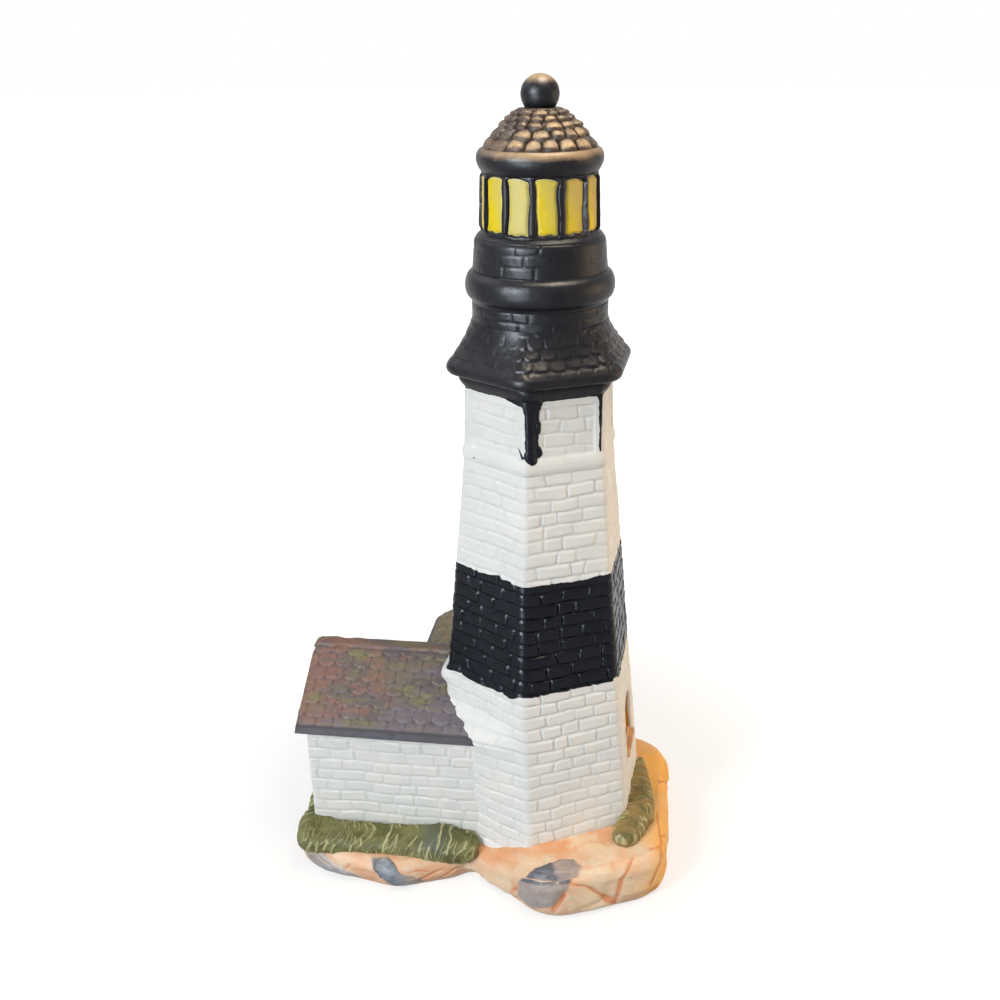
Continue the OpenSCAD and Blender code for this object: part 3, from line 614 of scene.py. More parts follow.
# Each roll: its name, the knots of its line, its half-widths there, the height of its middle, its
# half-height, a seed, the place and the height of a hump, the share of dry brown, and the node that it
# stands for.
for name, knots, half_widths, middle_z, half_z, seed, hump, dry, node in (
        ("front_hedge", [[-92.0, -42.5], [-29.0, -41.5]], [8.0, 8.0],
         12.5, 5.5, 1, (53.0, 2.3), 0.0, "hedge_front"),
        ("left_hedge", [[-92.5, -40.5], [-92.5, 26.0]], [8.0, 8.0],
         12.5, 5.4, 5, (0.0, 0.0), 0.0, "hedge_left"),
        ("grass_by_the_tower", [[39.5, -37.0], [45.0, -24.0], [44.5, -6.0], [44.0, 18.0]],
         [5.6, 6.6, 5.2, 1.6], 22.0, 4.2, 9, (0.0, 0.0), 1.0, "grass_right")):
    skin, stroke, shade = roll(knots, half_widths, middle_z, half_z, seed, hump)
    add_piece(name, [skin], "poles", hedge_olive, [node],
              {"stroke": [stroke], "shade": [shade], "dry": [dry]})

# The tower: six faces of raised brickwork that taper from the foot to the belt, cast with the base. It is
# painted white, with a black band whose ragged edge follows the bricks.
foot_z, band_z, upper_z, panel_z, lip_z = 20.0, 87.0, 133.4, 180.5, 206.0
belt_z = panel_z - 3.6
tower_foot_r, tower_belt_r, tower_top_r = 47.6, 31.4, 30.4
cos_face = math.cos(math.radians(30.0))
tower_turn = math.radians(-4.0)
front_corner = -94.0
corner_share = 5.0 / tower_foot_r
brick_high = 5.25
brick_long = 10.4
window_wide, window_sill_z, window_high, window_deep = 19.0, 25.5, 22.5, 3.0


def six_sided(count, corner):
    """A hexagon of circumradius 1 with rounded corners, walked from the corner before its first side: the
    points, the outward normals, the distance along each side from its middle, the distance to the nearest
    corner, the side's number and the walk. A side is a flat of 1 - c / cos 30 and an arc of radius c that
    turns by 60 degrees."""
    flat = 1.0 - corner / cos_face
    length = flat + corner * math.pi / 3.0
    walk = np.linspace(0.0, 6.0 * length, count, endpoint=False)
    side = np.floor(walk / length)
    along = walk - (side + 0.5) * length
    bend = np.sign(along) * np.maximum(np.abs(along) - flat / 2.0, 0.0) / corner
    out = cos_face - corner + corner * np.cos(bend)
    across = np.clip(along, -flat / 2.0, flat / 2.0) + corner * np.sin(bend)
    face = np.radians(60.0) * side
    points = np.stack([out * np.cos(face) - across * np.sin(face),
                       out * np.sin(face) + across * np.cos(face)], -1)
    normals = np.stack([np.cos(face + bend), np.sin(face + bend)], -1)
    return points, normals, along, length / 2.0 - np.abs(along), side, walk - 5.0 * length


def rounded_gap(side, level, bend):
    """Distance inside a rectangle with rounded corners, from the distances inside its upright and level
    edges."""
    gap = bend - np.hypot(np.maximum(bend - side, 0.0), np.maximum(bend - level, 0.0))
    return gap + np.maximum(np.minimum(side, level) - bend, 0.0)


def brickwork(along, height, corner_gap, high, long, seed, wrap):
    """Raised bricks in staggered courses: 0 in the joints and 1 on the bricks, by a smooth step of the
    distance to the nearest joint, which bends round each brick's corners. No upright joint comes near a
    corner of the wall. Gives also a tone from -1 to 1 for each brick."""
    row = np.floor(height / high)
    rise = (height / high - row) * high
    place = along / long + 0.5 * (row % 2) + 0.26 * (scatter(row, seed) - 0.5)
    brick = np.floor(place)
    left = brick + 0.46 * (scatter(row, brick % wrap, seed) - 0.5)
    right = brick + 1.0 + 0.46 * (scatter(row, (brick + 1.0) % wrap, seed) - 0.5)
    brick = brick - (place < left) + (place > right)
    side = np.minimum(np.abs(place - left), np.abs(place - right)) * long
    side = np.maximum(side, 3.6 - corner_gap)
    level = np.minimum(rise, high - rise)
    gap = rounded_gap(side, level, 1.1)
    calm = smooth_step(1.0, 4.5, corner_gap)
    tone = (scatter(row, brick % wrap, seed + 5.0) - 0.5) * 2.0 * calm
    return smooth_step(0.05, 0.85, gap), tone


def tower_radius(z):
    """Circumradius of the straight taper at a height."""
    return tower_foot_r - (tower_foot_r - tower_belt_r) * (z - foot_z) / (panel_z - foot_z)


def wall_relief(point, along, height, corner_gap, seed, high=brick_high, long=brick_long, depth=0.52,
                wrap=1e6):
    """Height of a brick wall's face: joints as deep as the mould left them, which varies over the wall, a
    little difference from brick to brick, and a hand-worked unevenness."""
    course = height + 0.75 * drift(point, 15.0, seed) + 0.36 * drift(point, 5.0, seed + 1)
    shift = along + 1.1 * drift(point, 6.0, seed + 2)
    brick, tone = brickwork(shift, course, corner_gap, high, long, seed, wrap)
    crisp = 0.72 + 0.28 * drift(point, 24.0, seed + 3) + 0.22 * drift(point, 6.0, seed + 4)
    return depth * (brick * crisp - 0.72) + 0.10 * tone * brick + 0.13 * drift(point, 3.2, seed + 5), brick


def black_depth(point, across, height, radius):
    """Distance in mm inside the black paint, negative on the white: between the band's two ragged edges,
    above the roof's lower edge, or in one of the runs that came down from it. across is measured from the
    front corner."""
    ragged = 0.55 * drift(point, 6.5, 21) + 0.4 * drift(point, 2.4, 22)
    notch = smooth_step(0.55, 0.8, drift(point, 3.4, 24))
    left_face = smooth_step(1.0, 5.0, -across) * smooth_step(-1.2 * radius, -radius, across)
    low_edge = band_z + ragged + 1.2 * notch
    low_edge = low_edge - 2.0 * left_face * smooth_step(0.1, 0.55, drift(point, 11.0, 23) + 0.4)
    high_edge = upper_z + 0.9 * ragged + 1.1 * left_face * smooth_step(0.35, 0.6, drift(point, 4.2, 25))
    black = np.minimum(height - low_edge, high_edge - height)
    corner = 30.5
    eave_edge = lip_z - 0.5 + 0.35 * ragged
    eave_edge = eave_edge - 1.6 * smooth_step(-12.0, -1.0, across) * smooth_step(7.5, 3.0, across)
    black = np.maximum(black, height - eave_edge)
    runs = [
        ((2.4, 206.5), (2.6, 186.0), 3.0, 2.5), ((2.3, 204.8), (2.3, 203.0), 4.2, 3.2),
        ((3.6, 205.0), (4.2, 203.6), 2.4, 1.8), ((4.1, 197.2), (4.2, 194.6), 1.8, 1.8),
        ((2.3, 185.6), (2.5, 184.3), 2.8, 2.4), ((4.7, 187.2), (5.0, 185.8), 1.7, 1.7),
        ((-1.0, 184.6), (-2.8, 188.0), 0.5, 0.2),
        ((corner - 1.2, 206.5), (corner - 0.9, 184.0), 1.0, 0.35),
        ((corner - 1.4, 206.0), (corner - 1.2, 203.0), 1.5, 0.7),
    ]
    drop = np.full(np.broadcast(across, height).shape, -9.0)
    for start, end, wide, narrow in runs:
        drop = np.maximum(drop, capsule(across, height, start, end, wide, narrow))
    drop = drop + 0.22 * drift(point, 1.7, 26)
    return np.maximum(black, drop), drop


def askew(plan):
    """A plan turned as the tower is."""
    cos, sin = math.cos(tower_turn), math.sin(tower_turn)
    return np.stack([cos * plan[:, 0] - sin * plan[:, 1], sin * plan[:, 0] + cos * plan[:, 1]], -1)


def tower_skin(z, radius, count, relief_of, corner=corner_share):
    """The outer skin of a six-sided wall: its rounded hexagon times the radius at each height, moved along
    the normals by its relief. Low down, the front corner stands a little to the right."""
    hexagon, normals, along, gap, side, across = six_sided(count, corner)
    r = radius[:, None]
    turned = askew(hexagon)
    z = let_down(z[:, None], turned)
    point = placed(turned * r[..., None], z)
    low = np.clip((band_z - z) / (band_z - foot_z), 0.0, 1.0)
    front = np.degrees(np.arctan2(turned[:, 1], turned[:, 0])) - front_corner
    point[..., 0] += 3.4 * low * np.exp(-(front / 45.0) ** 2)
    relief, marks = relief_of(point, along * r, z, gap * r, side, across * r, r)
    point[..., :2] += askew(normals) * relief[..., None]
    return point, marks, turned


def hollow_rows(turned, levels_and_radii):
    """Rows of the plain inner wall, from its top down."""
    return np.stack([placed(turned * r, z) for z, r in levels_and_radii])


def lined(marks, outer, skin):
    """Marks for a whole skin: those of its outer rows, and the last of them again on the inner wall."""
    more = ((0, len(skin) - len(outer)), (0, 0))
    return {key: [np.pad(np.broadcast_to(value, outer.shape[:2]), more, "edge")]
            for key, value in marks.items()}


def let_down(z, turned):
    """Heights with those under the foot let down where the mound falls away beside the house."""
    bearing = np.degrees(np.arctan2(turned[..., 1], turned[..., 0]))
    low = smooth_step(-88.0, -108.0, bearing) * smooth_step(-172.0, -160.0, bearing)
    return np.where(z < foot_z, foot_z + (z - foot_z) * (0.1 + 0.9 * low), z)


def add_wall(name, z, radius, count, relief_of, hollow, node):
    """Adds one hollow section of the tower's wall."""
    outer, marks, turned = tower_skin(z, radius, count, relief_of)
    skin = np.concatenate([outer, hollow_rows(turned, hollow)])
    add_piece(name, [skin], "ring", brick_paint, [node], lined(marks, outer, skin))


def taper_relief(point, along, z, gap, side, across, r):
    """Bricks under the black and the white, with the swelling of the wall that the house's roof runs into,
    and the arched recess of the window with its raised rim."""
    black, _ = black_depth(point, across, z, r)
    firm = np.where(side == 4, 0.85, 1.0) * (0.45 + 0.55 * smooth_step(0.5, 4.0, gap))
    relief, brick = wall_relief(point, along, z - foot_z, gap, 3,
                                depth=0.66 * firm + 0.34 * smooth_step(-1.0, 1.0, black))
    relief = relief + 0.12 * smooth_step(-0.1, 0.5, black)
    joined = np.where(side == 4, smooth_step(22.0, 0.0, along),
                      np.where(side == 3, smooth_step(-16.0, 10.0, along), 0.0))
    swell = 1.0 + 4.4 * smooth_step(14.0, 62.0, z) + 1.0 * np.exp(-((z - 62.0) / 3.2) ** 2)
    swell = swell * smooth_step(74.5, 63.0, z) + 2.6 * np.exp(-(z - 12.0) / 4.5)
    dollop = 3.0 * np.exp(-((z - 82.5) / 3.4) ** 2) * smooth_step(86.3, 84.0, z)
    dollop = dollop * np.where(side == 3, smooth_step(-5.0, 6.0, along),
                               smooth_step(-17.0, -21.0, along) * (side == 4))
    relief = relief + swell * joined + dollop
    face = (side == 0) | (side == 6)
    rise = z - foot_z - window_sill_z
    half = window_wide / 2.0
    arch = np.where(rise > window_high - half, half - np.hypot(along, rise - window_high + half),
                    np.minimum(half - np.abs(along), rise))
    arch = np.where(face, arch, -9.0)
    rim = smooth_step(-3.2, -2.2, arch) * (1.0 - smooth_step(-0.9, 0.0, arch))
    relief = relief * (1.0 - smooth_step(-3.0, -2.0, arch)) + 0.35 * rim
    relief = relief - (window_deep - 0.2) * smooth_step(-0.35, 0.35, arch)
    return relief, {"black": black, "brick": brick, "arch": arch}


def brick_finish(name):
    """Chalky white and satin black over the same bricks, parted by the black mark. The white is a little
    greyer in its joints and carries a few specks."""
    paint = Finish(name, 0.10)
    grain = paint.noise(0.9, 4.0, 0.7)
    cloud = paint.noise(14.0, 3.0)
    edge = paint.noise(1.3, 2.0)
    black = paint.step(paint.mark("black") + 0.5 * (edge - 0.5), -0.06, 0.06)
    brick = paint.mark("brick")
    white = paint.blend(paint.step(cloud, 0.3, 0.7), (0.745, 0.765, 0.755), (0.80, 0.80, 0.775))
    white = paint.blend((1.0 - brick) * 0.26, white, (0.615, 0.64, 0.63))
    speck = paint.node("ShaderNodeTexVoronoi", {}, {"Vector": paint.place, "Scale": 95.0})
    white = paint.blend((1.0 - paint.step(speck, 0.028, 0.05)) * paint.step(cloud, 0.5, 0.6), white,
                        (0.09, 0.08, 0.07))
    dark = paint.blend(paint.step(cloud, 0.35, 0.65), (0.0036, 0.0052, 0.0100), (0.0066, 0.0084, 0.0140))
    # The window's recess is brown: partly the reveal's own paint, partly painted shade inside the recess.
    arch = paint.step(paint.mark("arch"), -0.45, 0.1)
    white = paint.blend(arch, white, paint.blend(cloud, (0.36, 0.15, 0.05), (0.55, 0.27, 0.08)))
    paint.ground(black, white, dark)
    return paint.finished(0.56 - 0.32 * black + 0.10 * grain, paint.bump(grain, 0.16, 0.5))


brick_paint = brick_finish("brick_paint")


def levels(low, high, pitch=0.46):
    """Even heights from low to high, about a pitch apart."""
    return np.linspace(low, high, int(round((high - low) / pitch)) + 1)


def inner_r(r):
    """Circumradius of the hollow inside a six-sided wall."""
    return r - casting_wall / cos_face


for name, low, high, count, slot, node in (
        ("tower_lower_bricks", foot_z, band_z, 560, "white_paint", "tower_lower"),
        ("tower_band_bricks", band_z, upper_z, 500, "black_paint", "tower_band"),
        ("tower_upper_bricks", upper_z, belt_z, 430, "white_paint", "tower_upper")):
    at_foot = low == foot_z
    z = levels(low - 8.5 * at_foot, high)
    hollow = [(high, inner_r(tower_radius(high))), (low - 0.8 * at_foot, inner_r(tower_radius(low)))]
    add_wall(name, z, tower_radius(np.maximum(z, foot_z)), count, taper_relief, hollow, node)


def belt_relief(point, along, z, gap, side, across, r):
    """A quarter-round bead, with the black runs thick upon it."""
    bead = 1.05 * np.sin(0.5 * np.pi * np.clip((z - panel_z + 3.6) / 3.2, 0.0, 1.0)) ** 0.8
    black, drop = black_depth(point, across, z, r)
    relief = bead - 0.25 + 0.16 * drift(point, 6.0, 31) + 0.55 * smooth_step(-0.2, 0.9, drop)
    return relief, {"black": black, "brick": 1.0, "arch": -9.0}


z = levels(belt_z, panel_z, 0.3)
hollow = [(panel_z, inner_r(tower_belt_r)), (belt_z, inner_r(tower_radius(belt_z)))]
add_wall("belt", z, tower_radius(z), 420, belt_relief, hollow, "belt_moulding")


def panel_relief(point, along, z, gap, side, across, r):
    """Bricks let in behind a raised border of 3 mm, with a rounded step between."""
    inset = np.minimum(gap - 3.1, np.minimum(z - panel_z - 2.6, lip_z - 3.2 - z))
    inset = inset + 0.25 * drift(point, 6.0, 33)
    inside = smooth_step(-0.2, 0.9, inset)
    bricks, brick = wall_relief(point, along + 2.0, z - panel_z - 1.2, gap, 7, 5.3, 10.6, 0.5)
    black, drop = black_depth(point, across, z, r)
    relief = inside * (bricks - 0.40) + (1.0 - inside) * (0.12 + 0.08 * drift(point, 4.0, 34))
    roll_top = np.clip((z - panel_z) / 3.4, 0.0, 1.0)
    relief = relief + (0.65 + 0.16 * drift(point, 6.0, 31)) * (1.0 - smooth_step(0.1, 1.0, roll_top))
    relief = relief + 0.65 * smooth_step(-0.15, 0.9, drop)
    return relief, {"black": black, "brick": 1.0 - inside * (1.0 - brick), "arch": -9.0}


z = levels(panel_z, lip_z, 0.4)
radius = tower_belt_r + (tower_top_r - tower_belt_r) * (z - panel_z) / (lip_z - panel_z)
hollow = [(lip_z, inner_r(tower_top_r)), (panel_z, inner_r(tower_top_r))]
add_wall("panel_section", z, radius, 470, panel_relief, hollow, "tower_panels")

# The window on the tower's right face: a yellow pane painted at the back of an arched recess, with brown
# bars and a thick brown line round it, over a small brick sill.
pane_deep = 1.2
batter = math.atan((tower_foot_r - tower_belt_r) * cos_face / (panel_z - foot_z))


def on_face(out, across, rise, base_z):
    """Places points on the tower's right face: out of the face, along it, and up its slope from a height."""
    reach = tower_radius(base_z) * cos_face + out * math.cos(batter) - rise * math.sin(batter)
    z = base_z + out * math.sin(batter) + rise * math.cos(batter)
    cos, sin = math.cos(tower_turn), math.sin(tower_turn)
    return spot(tower_axis[0] + cos * reach - sin * across, tower_axis[1] + sin * reach + cos * across, z)


turn = np.linspace(0.0, 2.0 * np.pi, 120, endpoint=False)[None, :]
front_rows = 34
ratio = np.concatenate([np.linspace(0.02, 1.0, front_rows), [0.98, 0.5, 0.05]])[:, None]
half = window_wide / 2.0 + 0.1
centre = window_high - half
square = np.maximum(np.abs(np.cos(turn)), np.abs(np.sin(turn)) * half / (centre + 0.1))
edge = np.where(np.sin(turn) > 0, half, half / np.maximum(square, 1e-3))
across = ratio * edge * np.cos(turn)
rise = centre + ratio * edge * np.sin(turn)
bars = np.maximum(1.0 - np.abs(across) / 0.9, 1.0 - np.abs(rise - centre * 0.95) / 0.9)
rim = smooth_step(0.86, 0.98, ratio)
in_front = np.arange(len(ratio))[:, None] < front_rows
proud = np.where(in_front, pane_deep, 0.2) - window_deep
thick = 0.45 * smooth_step(0.0, 1.0, bars) * (ratio < 1.01)
thick = thick + 0.25 * np.cos(np.minimum(ratio, 1.0) * np.pi / 2.0)
thick = np.where(in_front, thick, 0.0)
pane = on_face(proud + thick - 0.3, across, rise, foot_z + window_sill_z)
paint = Finish("pane_paint", 0.4)
flow = paint.noise(5.0, 3.0)
brown = paint.step(paint.mark("bars") + 0.4 * (paint.noise(1.4) - 0.5), 0.3, 0.5)
paint.ground(paint.step(flow, 0.3, 0.7), (0.78, 0.60, 0.05), (0.86, 0.78, 0.33))
paint.coat(brown, (0.30, 0.12, 0.03))
window_yellow = paint.finished(0.42 + 0.1 * flow, paint.bump(flow, 0.3, 0.5))
add_piece("window_glass", [pane], "poles", window_yellow, ["window_pane"],
          {"bars": [np.maximum(bars, rim)]})

loop = np.linspace(0.0, 2.0 * np.pi, 28, endpoint=False)[None, :]
run = np.linspace(-window_wide / 2.0 - 1.0, window_wide / 2.0 + 1.0, 90)[:, None]
taper = np.minimum(1.0, ((run[-1, 0] + 0.02 - np.abs(run)) / 1.2)) ** 0.4
box_x = np.sign(np.cos(loop)) * np.abs(np.cos(loop)) ** 0.45
box_z = np.sign(np.sin(loop)) * np.abs(np.sin(loop)) ** 0.45
cuts = smooth_step(0.0, 0.5, np.abs((run / 5.25 + 0.5) % 1.0 - 0.5) * 5.25)
sill = on_face(0.2 + 1.15 * box_x * taper - 0.25 * (1.0 - cuts) * (box_x > 0), run,
               -1.5 + 1.45 * box_z * taper, foot_z + window_sill_z)
paint = Finish("sill_paint", 0.35)
grain = paint.noise(1.5, 4.0)
paint.ground(paint.step(paint.noise(5.0), 0.35, 0.65), (0.42, 0.17, 0.06), (0.60, 0.33, 0.13))
sill_brown = paint.finished(0.5 + 0.1 * grain, paint.bump(grain, 0.3, 0.5))
add_piece("brick_sill", [sill], "poles", sill_brown, ["window_sill"])

# The house: brick walls with a gable at their far end, cast with the base and run into the tower's face.
# They are as thick as the rest of the casting, hollow inside, and painted white over raised bricks.
house_left, house_half, wall_foot = 95.0, 35.0, 12.0
eave_z, ridge_z, eave_thick, roof_thick = 60.5, 85.0, 2.0, 4.5
eave_out = 2.0
house_slope = (ridge_z - eave_z - eave_thick) / (house_half + eave_out)
wing_corner = 2.2


def tower_sides(z):
    """The tower's six sides at a height, as n . p = reach."""
    turn = tower_turn + np.radians(60.0) * np.arange(6)
    return np.cos(turn), np.sin(turn), cos_face * tower_radius(z)


def tower_enter_x(y, z):
    """Where a line along +X at (y, z) goes into the tower: the most of (reach - n_y y) / n_x over its left
    sides."""
    nx, ny, reach = tower_sides(z)
    return np.max([(reach - ny[k] * y) / nx[k] for k in range(6) if nx[k] < -0.1], axis=0)


def wing_path(half, corner, inset, steps):
    """Half-plan of a wing: out along one long wall, round its end and back along the other. Long walls are
    given as a share of their length, so that they can start on the tower's slope. Gives columns of the
    share, the offset across, the offset out past the last corner, and the facing across and out."""
    flat, arc, end = steps
    turn = np.linspace(0.0, np.pi / 2.0, arc)[1:-1]
    across = half - inset
    one = np.ones(arc - 2)
    share = np.concatenate([np.linspace(0, 1, flat), one, np.ones(end), one, np.linspace(1, 0, flat)])
    sides = np.concatenate([np.full(flat, -across), -across + corner * (1.0 - np.cos(turn)),
                            np.linspace(-across + corner, across - corner, end),
                            across - corner * (1.0 - np.cos(turn[::-1])), np.full(flat, across)])
    out = np.concatenate([np.zeros(flat), corner * np.sin(turn), np.full(end, corner),
                          corner * np.sin(turn[::-1]), np.zeros(flat)])
    side_way = np.concatenate([np.full(flat, -1.0), -np.cos(turn), np.zeros(end), np.cos(turn[::-1]),
                               np.ones(flat)])
    return np.stack([share, sides, out, side_way, np.sqrt(1.0 - side_way ** 2)])[..., None]


def add_wing(name, place, length, half, slope, starts, steps, seed, stands_for):
    """Walls of one wing: a strip carried along the wing's plan, 4.5 mm thick, up to the underside of its
    roof. place turns (distance along the wing, across it, height) into points; starts gives where a long
    wall begins."""
    def strip(corner, inset, rise):
        """One face of the walls: distances along and across, heights, and the facing across and out."""
        share, sides, out, side_way, out_way = wing_path(half, corner, inset, steps)
        top = ridge_z - roof_thick - slope * np.abs(sides) + 0.4
        z = wall_foot + rise * (top - wall_foot)
        begin = starts(sides, z)
        return begin + (length - inset - corner - begin) * share + out, sides, z, side_way, out_way

    reach, sides, z, side_way, out_way = strip(wing_corner, 0.0, np.linspace(0.0, 1.0, 98))
    on_long_wall = np.abs(side_way) > 0.99
    run = np.where(on_long_wall, np.sign(side_way) * (half + length - reach), sides)
    gap = np.where(on_long_wall, length - reach, half - np.abs(sides))
    relief, brick = wall_relief(place(reach, sides, z), run, z - wall_foot + 1.5, np.abs(gap), seed)
    relief = relief + 0.6 * (1.0 - smooth_step(0.0, 1.5, z - wall_foot))
    outer = place(reach + out_way * relief, sides + side_way * relief, z)
    reach, sides, z, _, _ = strip(0.4, casting_wall, np.array([1.0, 0.66, 0.33, 0.0]))
    skin = np.concatenate([outer, place(reach, sides, z)], axis=1)
    brick = np.concatenate([brick, np.ones(z.shape)], axis=1)
    add_piece(name, [skin], "poles", brick_paint, stands_for,
              {"black": [-9.0], "brick": [brick], "arch": [-9.0]})


def house_place(reach, across, z):
    """Points of the house: out from the tower's axis to the left, across and up."""
    return spot(tower_axis[0] - reach, tower_axis[1] + across, z)


add_wing("house_bricks", house_place, house_left, house_half, house_slope,
         lambda across, z: -tower_enter_x(across, z) - 2.0, (170, 8, 150), 11, ["house_walls"])


# The roofs of the house and of the rear wing: two slopes of round-ended scales on a slab, with a plain
# turned edge at the eaves, washed unevenly in rust, violet, umber and olive. The rear one keeps more of the
# olive.
scale_wide, scale_pitch, verge_out = 7.7, 6.0, 4.0


def scales(down, tiles, pitch, curve, power, blur, seed):
    """Overlapping scales in rows down a slope. Row r's scales end at (r + 1) pitch - curve |x|^power, with
    x from -1 to 1 across a scale; each thickens from its head to its lip, and a groove parts it from its
    neighbours. Gives the height, 0 to 1, the nearness to a lip and a tone for each scale."""
    row = np.floor(down / pitch)
    shown = []
    for layer in (row, row + 1.0):
        place = tiles(layer)
        tile = np.floor(place)
        x = 2.0 * (place - tile) - 1.0
        lip = (layer + 1.0) * pitch - curve * np.abs(x) ** power
        lip = lip + 0.14 * pitch * (scatter(layer, tile, seed) - 0.5)
        rise = np.clip(1.0 - (lip - down) / (1.45 * pitch), 0.0, 1.0)
        groove = 1.0 - smooth_step(0.0, 0.26, 1.0 - np.abs(x))
        dome = 1.0 - 0.25 * np.abs(x) ** 2
        shown.append((lip, rise * dome * (1.0 - 0.55 * groove), scatter(layer, tile, seed + 2.0)))
    cover = smooth_step(-blur, blur, down - shown[0][0])
    height = shown[0][1] * (1.0 - cover) + shown[1][1] * cover
    tone = np.where(cover < 0.5, shown[0][2], shown[1][2])
    edge = smooth_step(-1.1, -0.1, down - shown[0][0]) * (1.0 - cover)
    return height, edge, tone


def roof_slab(half, length, slope, begin_of, place, seed):
    """Both slopes as one closed strip: over the top from eave to eave, then back along the underside.
    Stations run from where the roof begins, on the tower or the house, out to the verge."""
    edge = half + eave_out
    verge = length + verge_out
    across = np.concatenate([np.linspace(-edge, -0.01, 84), np.linspace(0.01, edge, 84)])
    off_ridge = np.abs(across)
    top = ridge_z - slope * off_ridge
    share = np.linspace(0.0, 1.0, 190)[:, None]
    begin = begin_of(across, top)
    reach = begin + (verge - begin) * share
    plain = place(reach, across, top)
    fall = math.hypot(1.0, slope)
    down = (off_ridge - 1.0) * fall
    wave = 0.35 * drift(plain, 8.0, seed)
    height, lip, tone = scales(down + wave + 0.2, lambda row: (reach + wave) / scale_wide + 0.5 * (row % 2)
                               + 0.2 * scatter(row, seed), scale_pitch, 1.7, 2.2, 0.42, seed)
    foot = smooth_step(edge * fall - 4.6, edge * fall - 3.4, down)
    hip = smooth_step(3.6, 1.2, off_ridge)
    worn = 0.46 + 0.26 * drift(plain, 15.0, seed + 2) + 0.62 * smooth_step(0.60, 0.85, down / (edge * fall))
    relief = worn * (height ** 1.5) * (1.0 - foot) * (1.0 - 0.9 * hip) - 0.55 + 0.15 * foot
    relief = relief + 0.16 * drift(plain, 2.6, seed + 1)
    relief = relief - 0.5 * smooth_step(1.4, 0.2, verge - reach)
    relief = relief - 0.55 * smooth_step(1.3, 0.1, edge - off_ridge)
    sink = 3.0 * np.clip(1.0 - (verge - reach) / 2.6, 0.0, 1.0) ** 2
    sink = sink * np.clip(1.0 - off_ridge / 6.0, 0.0, 1.0)
    tilt = np.sign(across) * slope / fall
    upper = place(reach, across + tilt * relief, top + relief / fall - sink)
    under_z = np.maximum(np.minimum(ridge_z - roof_thick - slope * off_ridge, top - eave_thick), eave_z)
    under = place(reach, across * 0.998, under_z)[:, ::-1]

    def both(above, below):
        """A mark on the slopes, and a plain one on the underside."""
        return [np.concatenate([np.broadcast_to(above, reach.shape), np.full(reach.shape, below)], axis=1)]

    marks = {"height": both(height * (1.0 - foot) + 0.8 * foot, 0.0),
             "lip": both(lip * (1.0 - foot) * (1.0 - hip), 0.0), "out": both(share, 0.0),
             "fall": both(np.clip(down / (edge * fall), 0.0, 1.0), 1.0),
             "tone": both(tone, 0.0), "eave": both(foot, 1.0)}
    return np.concatenate([upper, under], axis=1), marks


def roof_finish(name, olive):
    """A mottled glaze: rust towards the verge, olive in the middle, violet-grey by the tower and along the
    eave, in streaks along the rows, under a fine speckle, with painted shade below the lips and in the
    grooves and a tan painted highlight along the lips."""
    paint = Finish(name, 0.12)
    streak = paint.noise(11.0, 4.0, 0.62, paint.stretch(0.42, 1.0, 1.0))
    second = paint.noise(7.5, 4.0, 0.62, paint.stretch(0.6, 1.2, 1.2))
    speckle = paint.noise(0.62, 3.0, 0.85)
    grain = paint.noise(1.8, 4.0, 0.7)
    out = paint.mark("out")
    fall = paint.mark("fall")
    paint.ground(paint.step(streak, 0.42, 0.58), (0.120, 0.098, 0.110), (0.190, 0.150, 0.090))
    rust = paint.step(second + 0.26 * (out - 0.5) + 0.35 * (grain - 0.5), 0.50, 0.64)
    paint.coat(rust * 0.74, (0.265, 0.128, 0.092))
    violet = paint.step(streak - 0.26 * (out - 0.5) + 0.26 * (fall - 0.5) + 0.3 * (grain - 0.5), 0.50, 0.64)
    paint.coat(violet * 0.80, (0.145, 0.128, 0.175))
    paint.coat((1.0 - paint.step(second, 0.34, 0.48)) * 0.65, (0.205, 0.195, 0.075))
    fleck = paint.step(paint.noise(3.4, 3.0, 0.6, paint.stretch(0.6, 1.0, 1.0)), 0.60, 0.70)
    paint.coat(fleck * 0.4, (0.30, 0.26, 0.10))
    paint.coat(olive, paint.blend(paint.step(second, 0.40, 0.62), (0.180, 0.150, 0.062),
                                  (0.265, 0.180, 0.072)))
    paint.coat(paint.mark("tone") * paint.mark("height") * paint.step(fall, 0.55, 0.9) * 0.55,
               (0.200, 0.190, 0.225))
    paint.coat(paint.step(speckle * 0.7 + grain * 0.3, 0.55, 0.66) * 0.52, (0.46, 0.34, 0.24))
    paint.coat((1.0 - paint.step(speckle * 0.7 + grain * 0.3, 0.34, 0.46)) * 0.70, (0.045, 0.034, 0.038))
    # Darker below each row's lips and in the grooves between the scales: painted shade. The underside, with
    # no height, takes the same dark.
    paint.coat((1.0 - paint.step(paint.mark("height"), 0.10, 0.50)) * 0.78, (0.050, 0.037, 0.042))
    # Tan along the scales' lips: a painted highlight.
    paint.coat(paint.mark("lip") * paint.step(grain, 0.50, 0.62) * 0.25, (0.46, 0.31, 0.21))
    paint.coat(paint.mark("eave") * 0.92, (0.036, 0.033, 0.042))
    return paint.finished(0.36 + 0.22 * grain, paint.bump(speckle * 0.5 + grain * 0.5, 0.4, 0.7))


skin, marks = roof_slab(house_half, house_left, house_slope,
                        lambda across, z: -tower_enter_x(across, z) - 1.8, house_place, 41)
house_glaze = roof_finish("house_glaze", 0.0)
add_piece("house_scales", [skin], "caps", house_glaze, ["house_roof"], marks)


